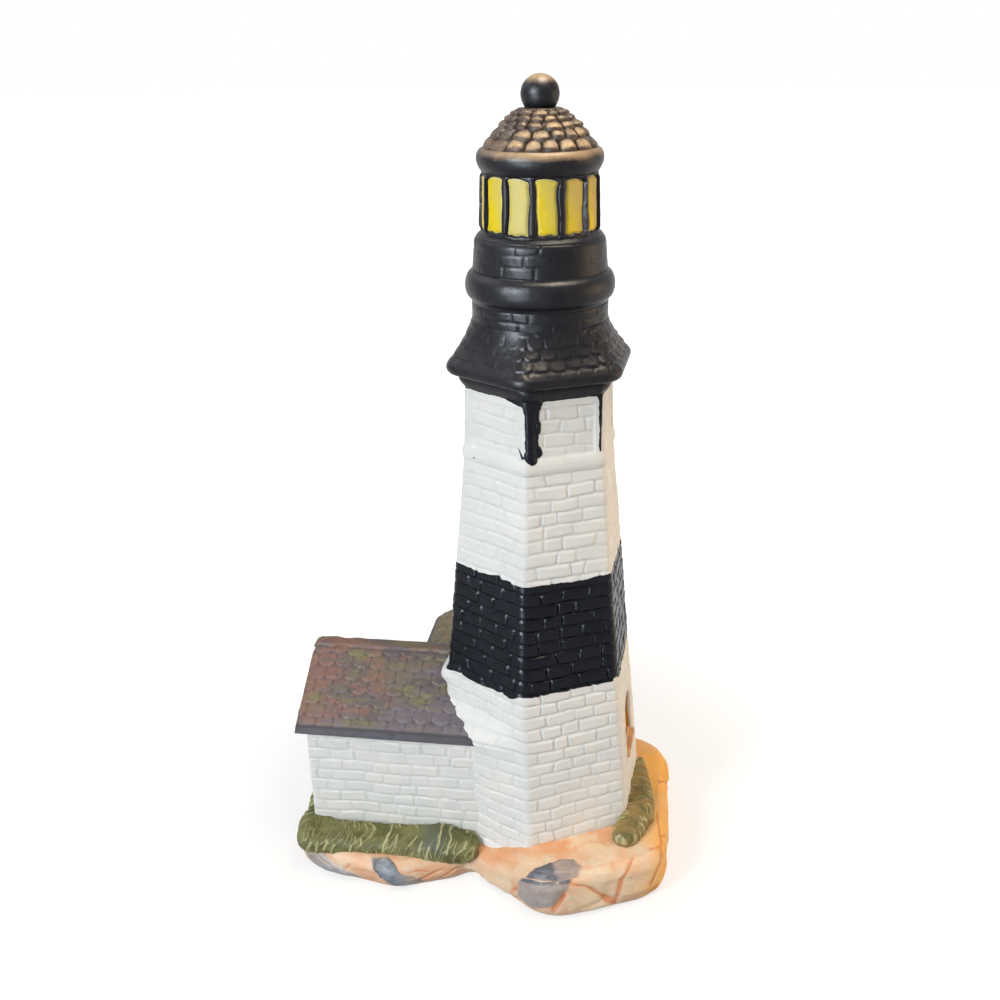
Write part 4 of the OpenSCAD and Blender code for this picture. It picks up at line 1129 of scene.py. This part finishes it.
def add_ridge(name, reach, place, stands_for, seed):
    """A ridge roll: a half-round a little wider than its top, with a worn, uneven line."""
    turn = np.linspace(0.0, 2.0 * np.pi, 40, endpoint=False)[None, :]
    station = reach[:, None]
    end = np.clip((reach[-1] + 0.05 - station) / 2.4, 0.0, 1.0) ** 0.5
    wave = 0.22 * drift(spot(station, 0.0, 3.0 * seed), 5.0, seed)
    out = 3.3 * np.cos(turn) * (1.0 + wave)
    up = np.where(np.sin(turn) > 0, 0.95, 2.6) * np.sin(turn) * end + 0.18 * wave - 1.1 * (1.0 - end)
    up = up - 0.31 * np.abs(out) * (np.sin(turn) < 0.2)
    skin = place(station, out, ridge_z - 0.9 + up)
    out_share = np.linspace(0.0, 1.0, len(reach))[:, None]
    add_piece(name, [skin], "poles", ridge_glaze, stands_for,
              {"height": [0.8], "lip": [0.0], "tone": [0.0], "eave": [0.0], "out": [out_share],
               "fall": [0.0]})


ridge_glaze = roof_finish("ridge_glaze", 0.0)
ridge_start = -float(tower_enter_x(0.0, ridge_z)) - 1.5
add_ridge("house_ridge", np.linspace(ridge_start, house_left + verge_out - 0.1, 150), house_place,
          ["house_ridge_cap"], 43)

# The rear wing: the same walls and roof, crossways behind the house, with its gable towards the back. It
# is part of the same casting, and its roof runs into the house's rear slope and into the tower.
rear_ridge_x, rear_half, rear_back = 24.0, 33.0, 61.0
rear_slope = (ridge_z - eave_z - eave_thick) / (rear_half + eave_out)


def tower_leave_y(x, z):
    """Where a line along +Y at (x, z) comes out of the tower's back: the least of (reach - n_x x) / n_y."""
    nx, ny, reach = tower_sides(z)
    return np.min([(reach - nx[k] * x) / ny[k] for k in range(6) if ny[k] > 0.05], axis=0)


def rear_place(reach, across, z):
    """Points of the rear wing: out from the tower's axis to the back, across and up."""
    return spot(tower_axis[0] - rear_ridge_x - across, tower_axis[1] + reach, z)


def rear_wall_start(across, z):
    """A long wall begins at the back of the house, or on the tower where that stands further back."""
    return np.maximum(house_half - 2.0, tower_leave_y(-rear_ridge_x - across, z) - 2.0)


def rear_roof_start(across, z):
    """The roof begins a little inside the house's rear slope, or inside the tower."""
    valley = rear_slope / house_slope * np.abs(across) - 2.5
    return np.maximum(valley, tower_leave_y(-rear_ridge_x - across, z) - 2.0)


add_wing("rear_bricks", rear_place, rear_back, rear_half, rear_slope, rear_wall_start, (64, 8, 140), 13,
         ["rear_walls"])
skin, marks = roof_slab(rear_half, rear_back, rear_slope, rear_roof_start, rear_place, 47)
rear_glaze = roof_finish("rear_glaze", 0.92)
add_piece("rear_scales", [skin], "caps", rear_glaze, ["rear_roof"], marks)
add_ridge("rear_ridge", np.linspace(1.0, rear_back + verge_out - 0.1, 120), rear_place,
          ["rear_ridge_cap"], 49)

# The lip and the flared roof of the gallery, cast with the tower and painted black: six-sided at the rim,
# round at the neck, with rows of small square-cut shingles pressed into the slope.
gallery_z, neck_z, ring_z, drum_z, shoulder_z = 211.5, 230.5, 237.0, 249.0, 260.7
gallery_r, lip_r, neck_r, bore_r = 38.3, 33.6, 25.6, 21.8


def black_finish(name, brown):
    """Satin black with a faint brown bloom. Where a piece marks it, a brown tint on its right side and tan to
    gold on raised lips and tops are painted warm light and painted highlights."""
    paint = Finish(name, 0.13)
    cloud = paint.noise(10.0, 3.0)
    grain = paint.noise(0.9, 4.0, 0.7)
    paint.ground(paint.step(cloud, 0.35, 0.65), (0.0060, 0.0068, 0.0100), (0.0110, 0.0115, 0.0150))
    # A faint brown bloom everywhere; on sides marked as lit by warm light the brown grows strong, as painted
    # warm light.
    bloom_and_warm_light = paint.step(paint.noise(6.0, 4.0), 0.40, 0.70) * (0.12 + 0.88 * paint.mark("warm")) * brown
    paint.coat(bloom_and_warm_light * 0.8, (0.062, 0.038, 0.024))
    # Tan and then gold on the lips, tops and glints that the pieces mark: painted highlights of a warm lamp.
    painted_highlight = paint.step(paint.mark("lip") + 0.8 * (grain - 0.5) + 0.6 * (cloud - 0.5), 0.50, 1.30)
    paint.coat(painted_highlight * 0.75, (0.30, 0.215, 0.145))
    painted_gold_highlight = paint.step(paint.mark("lip") + 0.5 * (grain - 0.5) + 0.8 * (cloud - 0.5), 1.10, 1.70)
    paint.coat(painted_gold_highlight * 0.75, (0.60, 0.42, 0.23))
    return paint.finished(0.29 + 0.14 * grain, paint.bump(grain, 0.16, 0.6))


black_paint = black_finish("black_paint", 0.12)


def lip_relief(point, along, z, gap, side, across, r):
    """A soft unevenness, and the heads of the black runs."""
    drop = black_depth(point, across, np.minimum(z, 206.4), r)[1]
    runs = 0.5 * smooth_step(-0.2, 0.9, drop) * smooth_step(4.0, 0.5, z - lip_z)
    return 0.1 * drift(point, 5.0, 51) + runs, {"lip": 0.0, "warm": 0.0}


z = levels(lip_z, gallery_z, 0.4)
bead = np.clip((z - lip_z) / 5.5, 0.0, 1.0)
bulge = (lip_r - tower_top_r - 0.5) * np.sin(np.pi * np.minimum(bead * 0.62, 0.5))
radius = tower_top_r + 0.5 + bulge - bead ** 4
outer, marks, turned = tower_skin(z, radius, 420, lip_relief, 0.2)
circle = turned / np.linalg.norm(turned, axis=1)[:, None]
skin = np.concatenate([outer, hollow_rows(circle, [(gallery_z, bore_r), (lip_z, bore_r)])])
add_piece("gallery_moulding", [skin], "ring", black_paint, ["gallery_lip"],
          lined(marks, outer, skin))

hexagon, _, along, *_ = six_sided(480, 0.24)
hexagon = askew(hexagon)
circle = hexagon / np.linalg.norm(hexagon, axis=1)[:, None]
rim_round, rim_in, rim_rows, slope_rows = 2.5, 35.8, 20, 51
slope_turn = math.atan2(gallery_r - 0.7 - neck_r, neck_z - gallery_z - 4.0)
rim_turn = np.linspace(-0.5 * np.pi, slope_turn, rim_rows)
rise = np.linspace(0.0, 1.0, slope_rows + 1)[1:]
square = np.concatenate([np.ones(rim_rows), 1.0 - rise])
rim_r = rim_in + rim_round * np.cos(rim_turn)
rim_z = gallery_z + rim_round + rim_round * np.sin(rim_turn)
z = np.concatenate([rim_z, rim_z[-1] + (neck_z - rim_z[-1]) * rise])
size = np.concatenate([rim_r, np.full(slope_rows, rim_r[-1])])
plan = square[:, None, None] * hexagon * size[:, None, None] + (1.0 - square)[:, None, None] * circle * neck_r
slant = math.hypot(rim_r[-1] - neck_r, neck_z - rim_z[-1])
down = (square * slant)[:, None]
local = along * (square * size + (1.0 - square) * neck_r / 0.96)[:, None]
point = spot(plan[..., 0], plan[..., 1], z[:, None])
wobble = 0.4 * drift(point, 5.0, 53)
height, lip, _ = scales(down + wobble - 1.8, lambda row: (local + 0.6 * wobble) / 6.4 + 0.5 * (row % 2)
                           + 0.35 * scatter(row, 57.0), 4.6, 1.5, 2.6, 0.45, 55)
field = smooth_step(0.02, 0.16, rise) * (1.0 - smooth_step(0.86, 1.0, rise))
field = np.concatenate([np.zeros(rim_rows), field])[:, None]
smooth_bearing = -124.0
facing = np.degrees(np.arctan2(circle[:, 1], circle[:, 0]))
smooth_face = np.abs((facing - smooth_bearing + 180.0) % 360.0 - 180.0)
worn = (0.95 + 0.35 * drift(point, 17.0, 58)) * (0.22 + 0.78 * smooth_step(20.0, 33.0, smooth_face))
belly = np.sin(np.pi * (1.0 - square))[:, None] * (z > rim_z[-1])[:, None]
relief = field * worn * (0.95 * height - 0.6) - 0.7 * belly + 0.12 * drift(point, 3.0, 54)
skin = placed(plan + 0.62 * circle * relief[..., None], z[:, None] + 0.78 * relief)
skin = np.concatenate([skin, hollow_rows(circle, [(neck_z, bore_r), (gallery_z, bore_r)])])
# On the gallery's right side the black takes a brown tint, with tan on the shingles' lips: painted warm light
# and painted highlights.
warm = smooth_step(20.0, 36.0, plan[..., 0] + 0.55 * plan[..., 1] + 4.0)
lip = (0.35 + 0.65 * lip * field) * warm
add_piece("gallery_shingles", [skin], "ring", black_finish("skirt_paint", 1.0),
          ["gallery_roof"],
          {"lip": [np.pad(lip, ((0, 2), (0, 0)))], "warm": [np.pad(warm, ((0, 2), (0, 0)))]})

# The neck, the round ring, the lantern's wall and its sloping sill: turned forms with courses of long,
# faint bricks.
drum_r, drum_top_r, glazing_r, frame_z, cornice_z = 25.0, 24.1, 22.1, 262.4, 283.3
lantern_bore_r = glazing_r - casting_wall


def about(radius, turn, z):
    """Points at a distance from the tower's axis, in a direction and at a height, all of which may be
    arrays."""
    return spot(tower_axis[0] + radius * np.cos(turn), tower_axis[1] + radius * np.sin(turn), z)


def add_turned(name, z, radius, relief_of, bore, node, count=330):
    """Adds a turned form: the radius at each height, moved out by its relief, with a plain bore."""
    turn = np.linspace(0.0, 2.0 * np.pi, count, endpoint=False)
    height, r, turn = np.broadcast_arrays(z[:, None], radius[:, None], turn)
    relief, marks = relief_of(about(r, turn, height), turn, height, r)
    outer = about(r + relief, turn, height)
    skin = np.concatenate([outer, about(bore, turn[:2], z[[-1, 0], None])])
    add_piece(name, [skin], "ring", black_paint, [node], lined(marks, outer, skin))


def round_bricks(high, bricks, start_z, depth, seed):
    """Relief of brick courses round a turned wall, with a whole number of bricks in each."""
    def relief_of(point, turn, z, r):
        """The relief at points of the wall, which the mould left clear in places only."""
        relief, _ = wall_relief(point, turn * r, z - start_z, np.full(z.shape, 99.0), seed, high,
                                2.0 * np.pi * r / bricks, depth, bricks)
        clear = 0.2 + 0.8 * smooth_step(-0.15, 0.4, drift(point, 12.0, seed + 9))
        return (relief + 0.2 * depth) * clear, {"lip": 0.0, "warm": 0.0}
    return relief_of


def soft_form(point, turn, z, r):
    """The slight unevenness of a form that was finished by hand."""
    return 0.12 * drift(point, 7.0, 61) + 0.05 * drift(point, 2.0, 62), {"lip": 0.0, "warm": 0.0}


def bead_radius(z, low, high, seat, r):
    """Circular arc from the seat radius at low and high out to r between them."""
    half = (high - low) / 2.0
    bulge = r - seat
    arc = (half * half + bulge * bulge) / (2.0 * bulge)
    return r - arc + np.sqrt(np.maximum(arc ** 2 - (z - low - half) ** 2, 0.0))


z = levels(neck_z, ring_z, 0.4)
add_turned("neck_bricks", z, np.full(z.shape, neck_r - 0.1), round_bricks(3.4, 14, neck_z - 0.2, 0.4, 63),
           bore_r, "lantern_neck")
z = levels(ring_z, drum_z, 0.4)
ring = bead_radius(z, ring_z, drum_z, neck_r - 0.2, 27.9) - 0.55 * np.exp(-((z - ring_z - 1.2) / 1.0) ** 2)
ring = ring - 0.45 * np.exp(-((z - drum_z + 0.6) / 0.7) ** 2)
add_turned("round_ring", z, ring, soft_form, bore_r, "gallery_ring")
z = levels(drum_z, shoulder_z, 0.42)
wall_r = drum_r + (drum_top_r - drum_r) * (z - drum_z) / (shoulder_z - drum_z)
wall_r = wall_r - 0.7 * np.clip((z - shoulder_z + 2.0) / 2.0, 0.0, 1.0) ** 2
add_turned("lantern_bricks", z, wall_r, round_bricks(4.3, 13, drum_z - 0.5, 0.42, 65),
           lantern_bore_r, "lantern_wall")
z = levels(shoulder_z, frame_z, 0.2)
share = (z - shoulder_z) / (frame_z - shoulder_z)
add_turned("sloping_sill", z, drum_top_r - 0.7 + (glazing_r + 0.3 - drum_top_r) * share ** 1.5, soft_form,
           lantern_bore_r, "lantern_sill")

# The lantern's windows: thirteen yellow panes painted in shallow recesses, and round bars between them. The
# black of the bars was brushed up to the yellow by hand, so the panes' outlines wander, with a pale line
# just inside them.
pane_count = 13
pane_turn = math.radians(-77.5)
pane_share = 0.76
pane_z, pane_high = frame_z + 0.7, cornice_z - frame_z - 1.0
pane_shift = np.array([0.2, 0.9, 1.3, 0.3, -0.4, 0.2, 0.5, -0.3, 0.0, 0.4, -0.2, -0.8, 0.1])
pane_wide = np.array([0.0, 0.1, 0.3, 0.0, 0.2, 0.0, 0.0, 0.1, 0.2, 0.0, 0.0, 0.7, 0.0])
pane_ochre = np.array([0.15, 0.75, 1.0, 0.5, 0.2, 0.6, 0.1, 0.4, 0.7, 0.3, 0.5, 0.0, 0.1])
pane_pale = np.array([0.15, 0.2, 0.1, 0.4, 0.6, 0.1, 0.5, 0.2, 0.3, 0.6, 0.2, 0.1, 0.85])


def pane_inside(turn, z):
    """Distance in mm inside the nearest pane's wandering outline, the place across it and the share of the
    way up."""
    place = (turn - pane_turn) / (2.0 * np.pi) * pane_count
    number = np.round(place)
    pitch = 2.0 * np.pi * glazing_r / pane_count
    x = (place - number) * pitch
    key = number % pane_count
    pane = key.astype(int)
    up = (z - pane_z) / pane_high
    sway = 0.30 * np.sin(2.0 * np.pi * (up * (0.6 + 0.4 * scatter(key, 3.0)) + scatter(key, 4.0)))
    flare = 0.75 * smooth_step(0.80, 1.0, up) + 0.25 * smooth_step(0.12, 0.0, up)
    half = pane_share * pitch / 2.0 + pane_wide[pane] + flare
    half = half + 0.16 * np.sin(11.0 * up + 5.0 * scatter(key, 5.0))
    low = pane_z + 0.6 * scatter(key, 6.0) + 0.22 * np.sin(1.3 * x + key)
    high = pane_z + pane_high - 0.6 * scatter(key, 7.0) + 0.25 * x * (scatter(key, 9.0) - 0.5) - 0.04 * x * x
    side = half - np.abs(x - sway - pane_shift[pane])
    level = np.minimum(z - low, high - z)
    return rounded_gap(side, level, 0.8), x, up


def bar_relief(point, turn, z, r):
    """Half-round bars, proud of the panes' recesses and run out into the rails above and below."""
    place = (turn - pane_turn) / (2.0 * np.pi) * pane_count + 0.5
    x = (place - np.round(place)) * 2.0 * np.pi * glazing_r / pane_count
    bar = np.sqrt(np.maximum(1.0 - (x / 1.5) ** 2, 0.0))
    inside = smooth_step(-0.35, 0.35, pane_inside(turn, z)[0])
    ends = smooth_step(0.0, 2.2, z - frame_z) * (1.0 - smooth_step(-1.8, 0.0, z - cornice_z))
    relief = 0.75 * bar * ends + 0.08 * drift(point, 3.0, 71) - 0.45
    # The bars' crests carry a faint tan painted highlight.
    return relief * (1.0 - inside) - 1.5 * inside, {"lip": 0.3 * bar * ends, "warm": 0.0}


z = levels(frame_z, cornice_z, 0.36)
bars_r = glazing_r - 0.6 * (z - frame_z) / (cornice_z - frame_z)
add_turned("lantern_frame", z, bars_r, bar_relief, lantern_bore_r, "lantern_bars", 460)

panes = []
marks = {"inside": [], "up": [], "ochre": list(pane_ochre), "pale": list(pane_pale)}
z = np.linspace(pane_z - 0.6, pane_z + pane_high + 0.5, 62)[:, None]
pane_columns = 28
for number in range(pane_count):
    middle = pane_turn + 2.0 * np.pi * number / pane_count
    half = math.pi / pane_count * (pane_share + 0.16) + pane_wide[number] / glazing_r
    middle = middle + pane_shift[number] / glazing_r
    turn = np.linspace(-half, half, pane_columns)
    turn = middle + np.concatenate([turn, turn[::-1]])[None, :]
    inside, x, up = pane_inside(turn, z)
    face = glazing_r - 1.35 - 0.35 * up + 0.45 * smooth_step(0.0, 1.3, inside)
    face = face - 0.8 * smooth_step(0.1, -0.5, inside)
    face = face + 0.09 * drift(spot(turn * 20.0, z, number), 2.4, 73)
    r = np.where(np.arange(2 * pane_columns) < pane_columns, face, glazing_r - 3.4)
    panes.append(about(r, turn, z))
    marks["inside"].append(inside)
    marks["up"].append(up + 0.12 * x)
paint = Finish("lantern_paint", 0.10)
flow = paint.noise(4.0, 3.0, 0.6, paint.stretch(1.0, 1.0, 0.6))
up = paint.mark("up")
inside = paint.mark("inside")
paint.ground(paint.step(up + 1.1 * (flow - 0.5), 0.10, 1.10), (0.84, 0.64, 0.0), (0.74, 0.60, 0.10))
paint.coat(paint.mark("ochre") * paint.step(up + 0.8 * (flow - 0.5), -0.2, 0.9), (0.56, 0.40, 0.12))
paint.coat(paint.mark("pale") * paint.step(flow, 0.30, 0.55), (0.66, 0.58, 0.20))
paint.coat((1.0 - paint.step(inside, 0.16, 0.50)) * 0.85, (0.80, 0.73, 0.46))
paint.coat(1.0 - paint.step(inside + 0.25 * (flow - 0.5), 0.0, 0.14), (0.006, 0.006, 0.008))
lantern_yellow = paint.finished(0.40 + 0.1 * flow, paint.bump(flow, 0.25, 0.5))
add_piece("lantern_glass", panes, "caps", lantern_yellow, ["lantern_panes"], marks)

# The cornice, the scaled dome and the ball, luted on top of the lantern. The dome's scales are thick and
# round and dark brown; tan over their crowns, most towards the front-right, is a painted highlight, and their
# lower parts and grooves carry painted shade. The cornice's top and the ball's top carry painted highlights
# too.
dome_z, ball_z, ball_r, ball_high = 291.5, 304.8, 6.95, 11.2
dome_r, dome_top_r = 21.1, 8.0


def cornice_relief(point, turn, z, r):
    """A soft unevenness, with a painted highlight on the top, strongest at the front."""
    relief, _ = soft_form(point, turn, z, r)
    front = 0.5 + 0.5 * np.cos(turn - math.radians(-68.0))
    painted_highlight = smooth_step(dome_z - 5.0, dome_z - 0.6, z + 0.9 * drift(point, 7.0, 81) - 0.4)
    return relief, {"lip": (0.45 + 1.15 * front) * painted_highlight, "warm": 0.0}


z = levels(cornice_z, dome_z, 0.3)
share = (z - cornice_z) / (dome_z - cornice_z)
cornice = 20.9 + 2.0 * np.sin(0.5 * np.pi * np.minimum(share / 0.58, 1.0)) ** 0.9
cornice = cornice - 2.3 * (1.0 - np.sqrt(np.maximum(1.0 - np.maximum((share - 0.58) / 0.43, 0.0) ** 2, 0.0)))
add_turned("cornice", z, cornice, cornice_relief, lantern_bore_r, "cornice_ring", 460)

slant = math.hypot(dome_r - dome_top_r, ball_z - dome_z)
lip_down = np.array([-2.4, 0.4, 3.0, 5.9, 9.4, 13.5, 18.2, 23.0])
ring_counts = np.array([12.0, 12.0, 13.0, 15.0, 17.0, 17.0, 17.0])
up_share = np.linspace(1.0, 0.0, 110)
dome_turn = np.linspace(0.0, 2.0 * np.pi, 520, endpoint=False)
down = ((1.0 - up_share) * slant)[:, None]
swell = 1.0 * np.sin(np.pi * np.minimum(1.0 - up_share, 0.95) ** 0.9)[:, None]


def dome_count(row):
    """How many scales stand in a row of the dome."""
    return ring_counts[np.clip(row, 0, 6).astype(int)]


def dome_tiles(row):
    """Place of each point along its ring of scales, counted in scales, which aren't all of one width."""
    place = dome_turn / (2.0 * np.pi) * dome_count(row) + 0.37 * row
    return place + 0.16 * np.sin(dome_turn * 3.0 + 2.1 * row)


def pebbles(down, seed):
    """Pebble-shaped scales in staggered rows, the highest of those that meet at a point: each is sqrt(1 -
    |x|^2.6 - |y|^2.4) high, and more towards its lip. Gives the height and a tone, random from scale to
    scale, that darkens towards the lip as painted shade on each scale's lower part."""
    best = np.zeros(down.shape)
    tone = np.zeros(down.shape)
    for layer in (np.floor(down) - 1.0, np.floor(down), np.floor(down) + 1.0):
        place = dome_tiles(layer)
        tile = np.floor(place)
        key = tile % dome_count(layer)
        x = 2.0 * (place - tile) - 1.0
        y = (down - layer - 0.5 - 0.16 * (scatter(layer, key, seed) - 0.5)) / 0.66
        body = np.sqrt(np.clip(1.0 - np.abs(x / 0.95) ** 2.6 - np.abs(y) ** 2.4, 0.0, 1.0))
        body = body * (0.70 + 0.30 * y) * (0.8 + 0.2 * scatter(layer, key, seed + 1.0))
        # Each scale's tone darkens over its lower part: painted shade.
        own = 0.45 * scatter(layer, key, seed + 2.0) - 0.75 * smooth_step(0.15, 0.8, y)
        tone = np.where(body > best, own, tone)
        best = np.maximum(best, body)
    return best, tone


plain = spot(dome_r * np.cos(dome_turn), dome_r * np.sin(dome_turn), down)
row_down = np.interp(down + 0.45 * drift(plain, 4.0, 86), lip_down, np.arange(8.0))
height, tone = pebbles(row_down, 83)
collar = smooth_step(0.9, 2.0, row_down)
relief = (1.0 + 1.35 * collar) * height - 0.4 - 0.75 * collar + 0.2 * drift(plain, 1.8, 87)
relief = relief * smooth_step(0.0, 0.04, 1.0 - up_share)[:, None] + swell - 0.2
lean = math.atan2(dome_r - dome_top_r, ball_z - dome_z)
r = (dome_top_r + (dome_r - dome_top_r) * (1.0 - up_share))[:, None] - 0.2 + relief * math.cos(lean)
z = np.maximum((dome_z + (ball_z - dome_z) * up_share)[:, None] + relief * math.sin(lean), dome_z)
outer = about(r, dome_turn, z)
head = np.stack([about(a, dome_turn, ball_z) for a in (0.15, 4.0)])
lining = np.stack([about(a, dome_turn, level) for a, level in (
    (dome_r - 3.3, dome_z), (dome_top_r - 4.0, ball_z - 4.0), (0.15, ball_z - 4.5))])
paint = Finish("dome_paint", 0.13)
grain = paint.noise(1.0, 4.0, 0.7)
cloud = paint.noise(8.0, 3.0)
crown = paint.mark("height")
paint.ground(paint.step(cloud, 0.35, 0.65), (0.070, 0.048, 0.037), (0.165, 0.112, 0.075))
# Tan over the scales' crowns: a painted highlight.
painted_crown_highlight = paint.step(crown + 0.6 * (grain - 0.5) + 1.1 * (cloud - 0.5) + 0.8 * paint.mark("tone"), 0.42, 1.12)
paint.coat(painted_crown_highlight * 0.92, (0.68, 0.47, 0.255))
# Near-black in the grooves between the scales: painted shade.
paint.coat((1.0 - paint.step(crown, 0.05, 0.40)) * (0.35 + 0.4 * paint.step(cloud, 0.44, 0.60)),
           (0.020, 0.014, 0.012))
dome_brown = paint.finished(0.26 + 0.2 * grain, paint.bump(grain, 0.35, 0.8))
# More tan towards the front-right and less on the left: the painted highlight follows a lamp on that side.
tone = tone + 1.05 * np.cos(dome_turn - math.radians(-60.0)) - 0.80
add_piece("dome_scales", [np.concatenate([head, outer, lining])], "poles", dome_brown,
          ["dome_roof"],
          {"height": [np.pad(height, ((2, 3), (0, 0)))], "tone": [np.pad(tone, ((2, 3), (0, 0)))]})

rise = np.linspace(0.02, np.pi - 0.06, 60)[:, None]
turn = np.linspace(0.0, 2.0 * np.pi, 96, endpoint=False)[None, :]
level = np.maximum(ball_z - 0.4, ball_z + ball_high - ball_r + ball_r * np.cos(rise))
r = ball_r * np.sin(rise) * (1.0 + 0.02 * np.cos(rise)) - 0.05
ball = about(r, turn, level)
ball[..., :2] += 0.12 * drift(ball, 6.0, 91)[..., None] * np.sin(rise)[..., None]
# A painted highlight over the ball's top, tan turning to gold.
glint = 1.75 * smooth_step(ball_z + 6.2, ball_z + 11.0, ball[..., 2])
add_piece("top_ball", [ball], "poles", black_paint, ["finial_ball"],
          {"lip": [glint], "warm": [0.0]})

# Camera at the photograph's viewing angle, from above and in front, held a degree off level. It stands
# about half a metre away, which gives the photograph's perspective.
camera = bpy.data.objects.new("camera", bpy.data.cameras.new("camera"))
bpy.context.scene.collection.objects.link(camera)
camera.location = (0.06891, -0.42043, 0.33275)
heading = mathutils.Matrix.Rotation(math.radians(8.417), 3, "Z")
pitch = mathutils.Matrix.Rotation(math.radians(90.0 - 23.008), 3, "X")
tilt = mathutils.Matrix.Rotation(math.radians(-0.881), 3, "Z")
camera.rotation_euler = (heading @ pitch @ tilt).to_euler()
camera.data.sensor_width = 36.0
camera.data.lens = 40.61
camera.data.clip_start = 0.01
bpy.context.scene.camera = camera

# A plain pale floor under the figurine. To the camera it whitens with distance, and near the figurine it
# keeps the shadow.
mesh = bpy.data.meshes.new("floor")
mesh.from_pydata([(-6, -6, 0), (6, -6, 0), (6, 6, 0), (-6, 6, 0)], [], [(0, 1, 2, 3)])
floor = bpy.data.objects.new("floor", mesh)
bpy.context.scene.collection.objects.link(floor)
paint = Finish("floor_paint", 0.1)
seen = paint.node("ShaderNodeLightPath", output="Is Camera Ray")
mirrored = paint.node("ShaderNodeLightPath", output="Is Glossy Ray")
passed = paint.node("ShaderNodeLightPath", output="Is Transmission Ray")
away = paint.node("ShaderNodeVectorMath", {"operation": "LENGTH"}, {0: paint.place}, output="Value")
white = 0.62 + 0.42 * paint.step(away, 0.09, 0.28)
paint.colour = (0.42, 0.42, 0.42)
paint.finished(0.9, paint.bump(paint.noise(3.0), 0.02, 0.2))
paint.fill(paint.shader.inputs["Emission Color"], (1.0, 1.0, 1.0))
paint.fill(paint.shader.inputs["Emission Strength"], (seen + mirrored + passed) * white)
mesh.materials.append(paint.material)

# Light: a pale room, a cool window in front on the left, and warm lamps above and on the right. Four more
# lamps light nothing, and only show as reflections in the glossy paint.
room_light = 0.36
world = bpy.data.worlds.new("room")
world.use_nodes = True
bpy.context.scene.world = world
sky = world.node_tree.nodes["Background"]
path = world.node_tree.nodes.new("ShaderNodeLightPath")
strength = sky.inputs["Strength"]
for ray in ("Is Transmission Ray", "Is Glossy Ray", "Is Camera Ray"):
    share = world.node_tree.nodes.new("ShaderNodeMath")
    share.operation = "MULTIPLY_ADD"
    world.node_tree.links.new(share.outputs[0], strength)
    world.node_tree.links.new(path.outputs[ray], share.inputs[0])
    share.inputs[1].default_value = 1.0 - room_light
    share.inputs[2].default_value = room_light
    strength = share.inputs[2]
sky.inputs["Color"].default_value = (1.0, 1.0, 1.0, 1.0)


def add_lamp(name, spot_mm, target_mm, size_m, power, colour, glossy_only=False):
    """A square softbox at one point, turned to face another, or only its reflection in glossy paint."""
    data = bpy.data.lights.new(name, "AREA")
    data.shape = "SQUARE"
    data.size = size_m
    data.energy = power
    data.color = colour
    lamp = bpy.data.objects.new(name, data)
    lamp.visible_diffuse = not glossy_only
    bpy.context.scene.collection.objects.link(lamp)
    place = np.array(spot_mm) / 1000.0
    way = np.array(target_mm) / 1000.0 - place
    lamp.location = place
    lamp.rotation_euler = (math.acos(-way[2] / np.linalg.norm(way)), 0.0,
                           math.atan2(way[1], way[0]) - math.pi / 2)


add_lamp("window_light", (-560, -830, 620), (20, 0, 150), 0.26, 7.6, (0.93, 0.97, 1.0))
add_lamp("low_window", (-335, -775, 70), (20, -20, 150), 0.24, 13.0, (0.78, 0.88, 1.0), glossy_only=True)
add_lamp("high_window", (-470, -720, 560), (20, 0, 220), 0.22, 26.0, (0.80, 0.90, 1.0), glossy_only=True)
add_lamp("left_sky", (-720, 140, 900), (20, 0, 220), 0.50, 3.5, (0.95, 0.97, 1.0), glossy_only=True)
add_lamp("back_lamp", (170, 40, 1150), (20, 0, 240), 0.42, 34.0, (1.0, 0.88, 0.72), glossy_only=True)
add_lamp("ceiling_lamp", (260, -160, 950), (20, 0, 200), 0.30, 2.3, (1.0, 0.84, 0.64))
add_lamp("side_lamp", (720, 120, 260), (20, 0, 130), 0.35, 2.2, (1.0, 0.70, 0.40))

bpy.context.scene.view_settings.view_transform = "Standard"
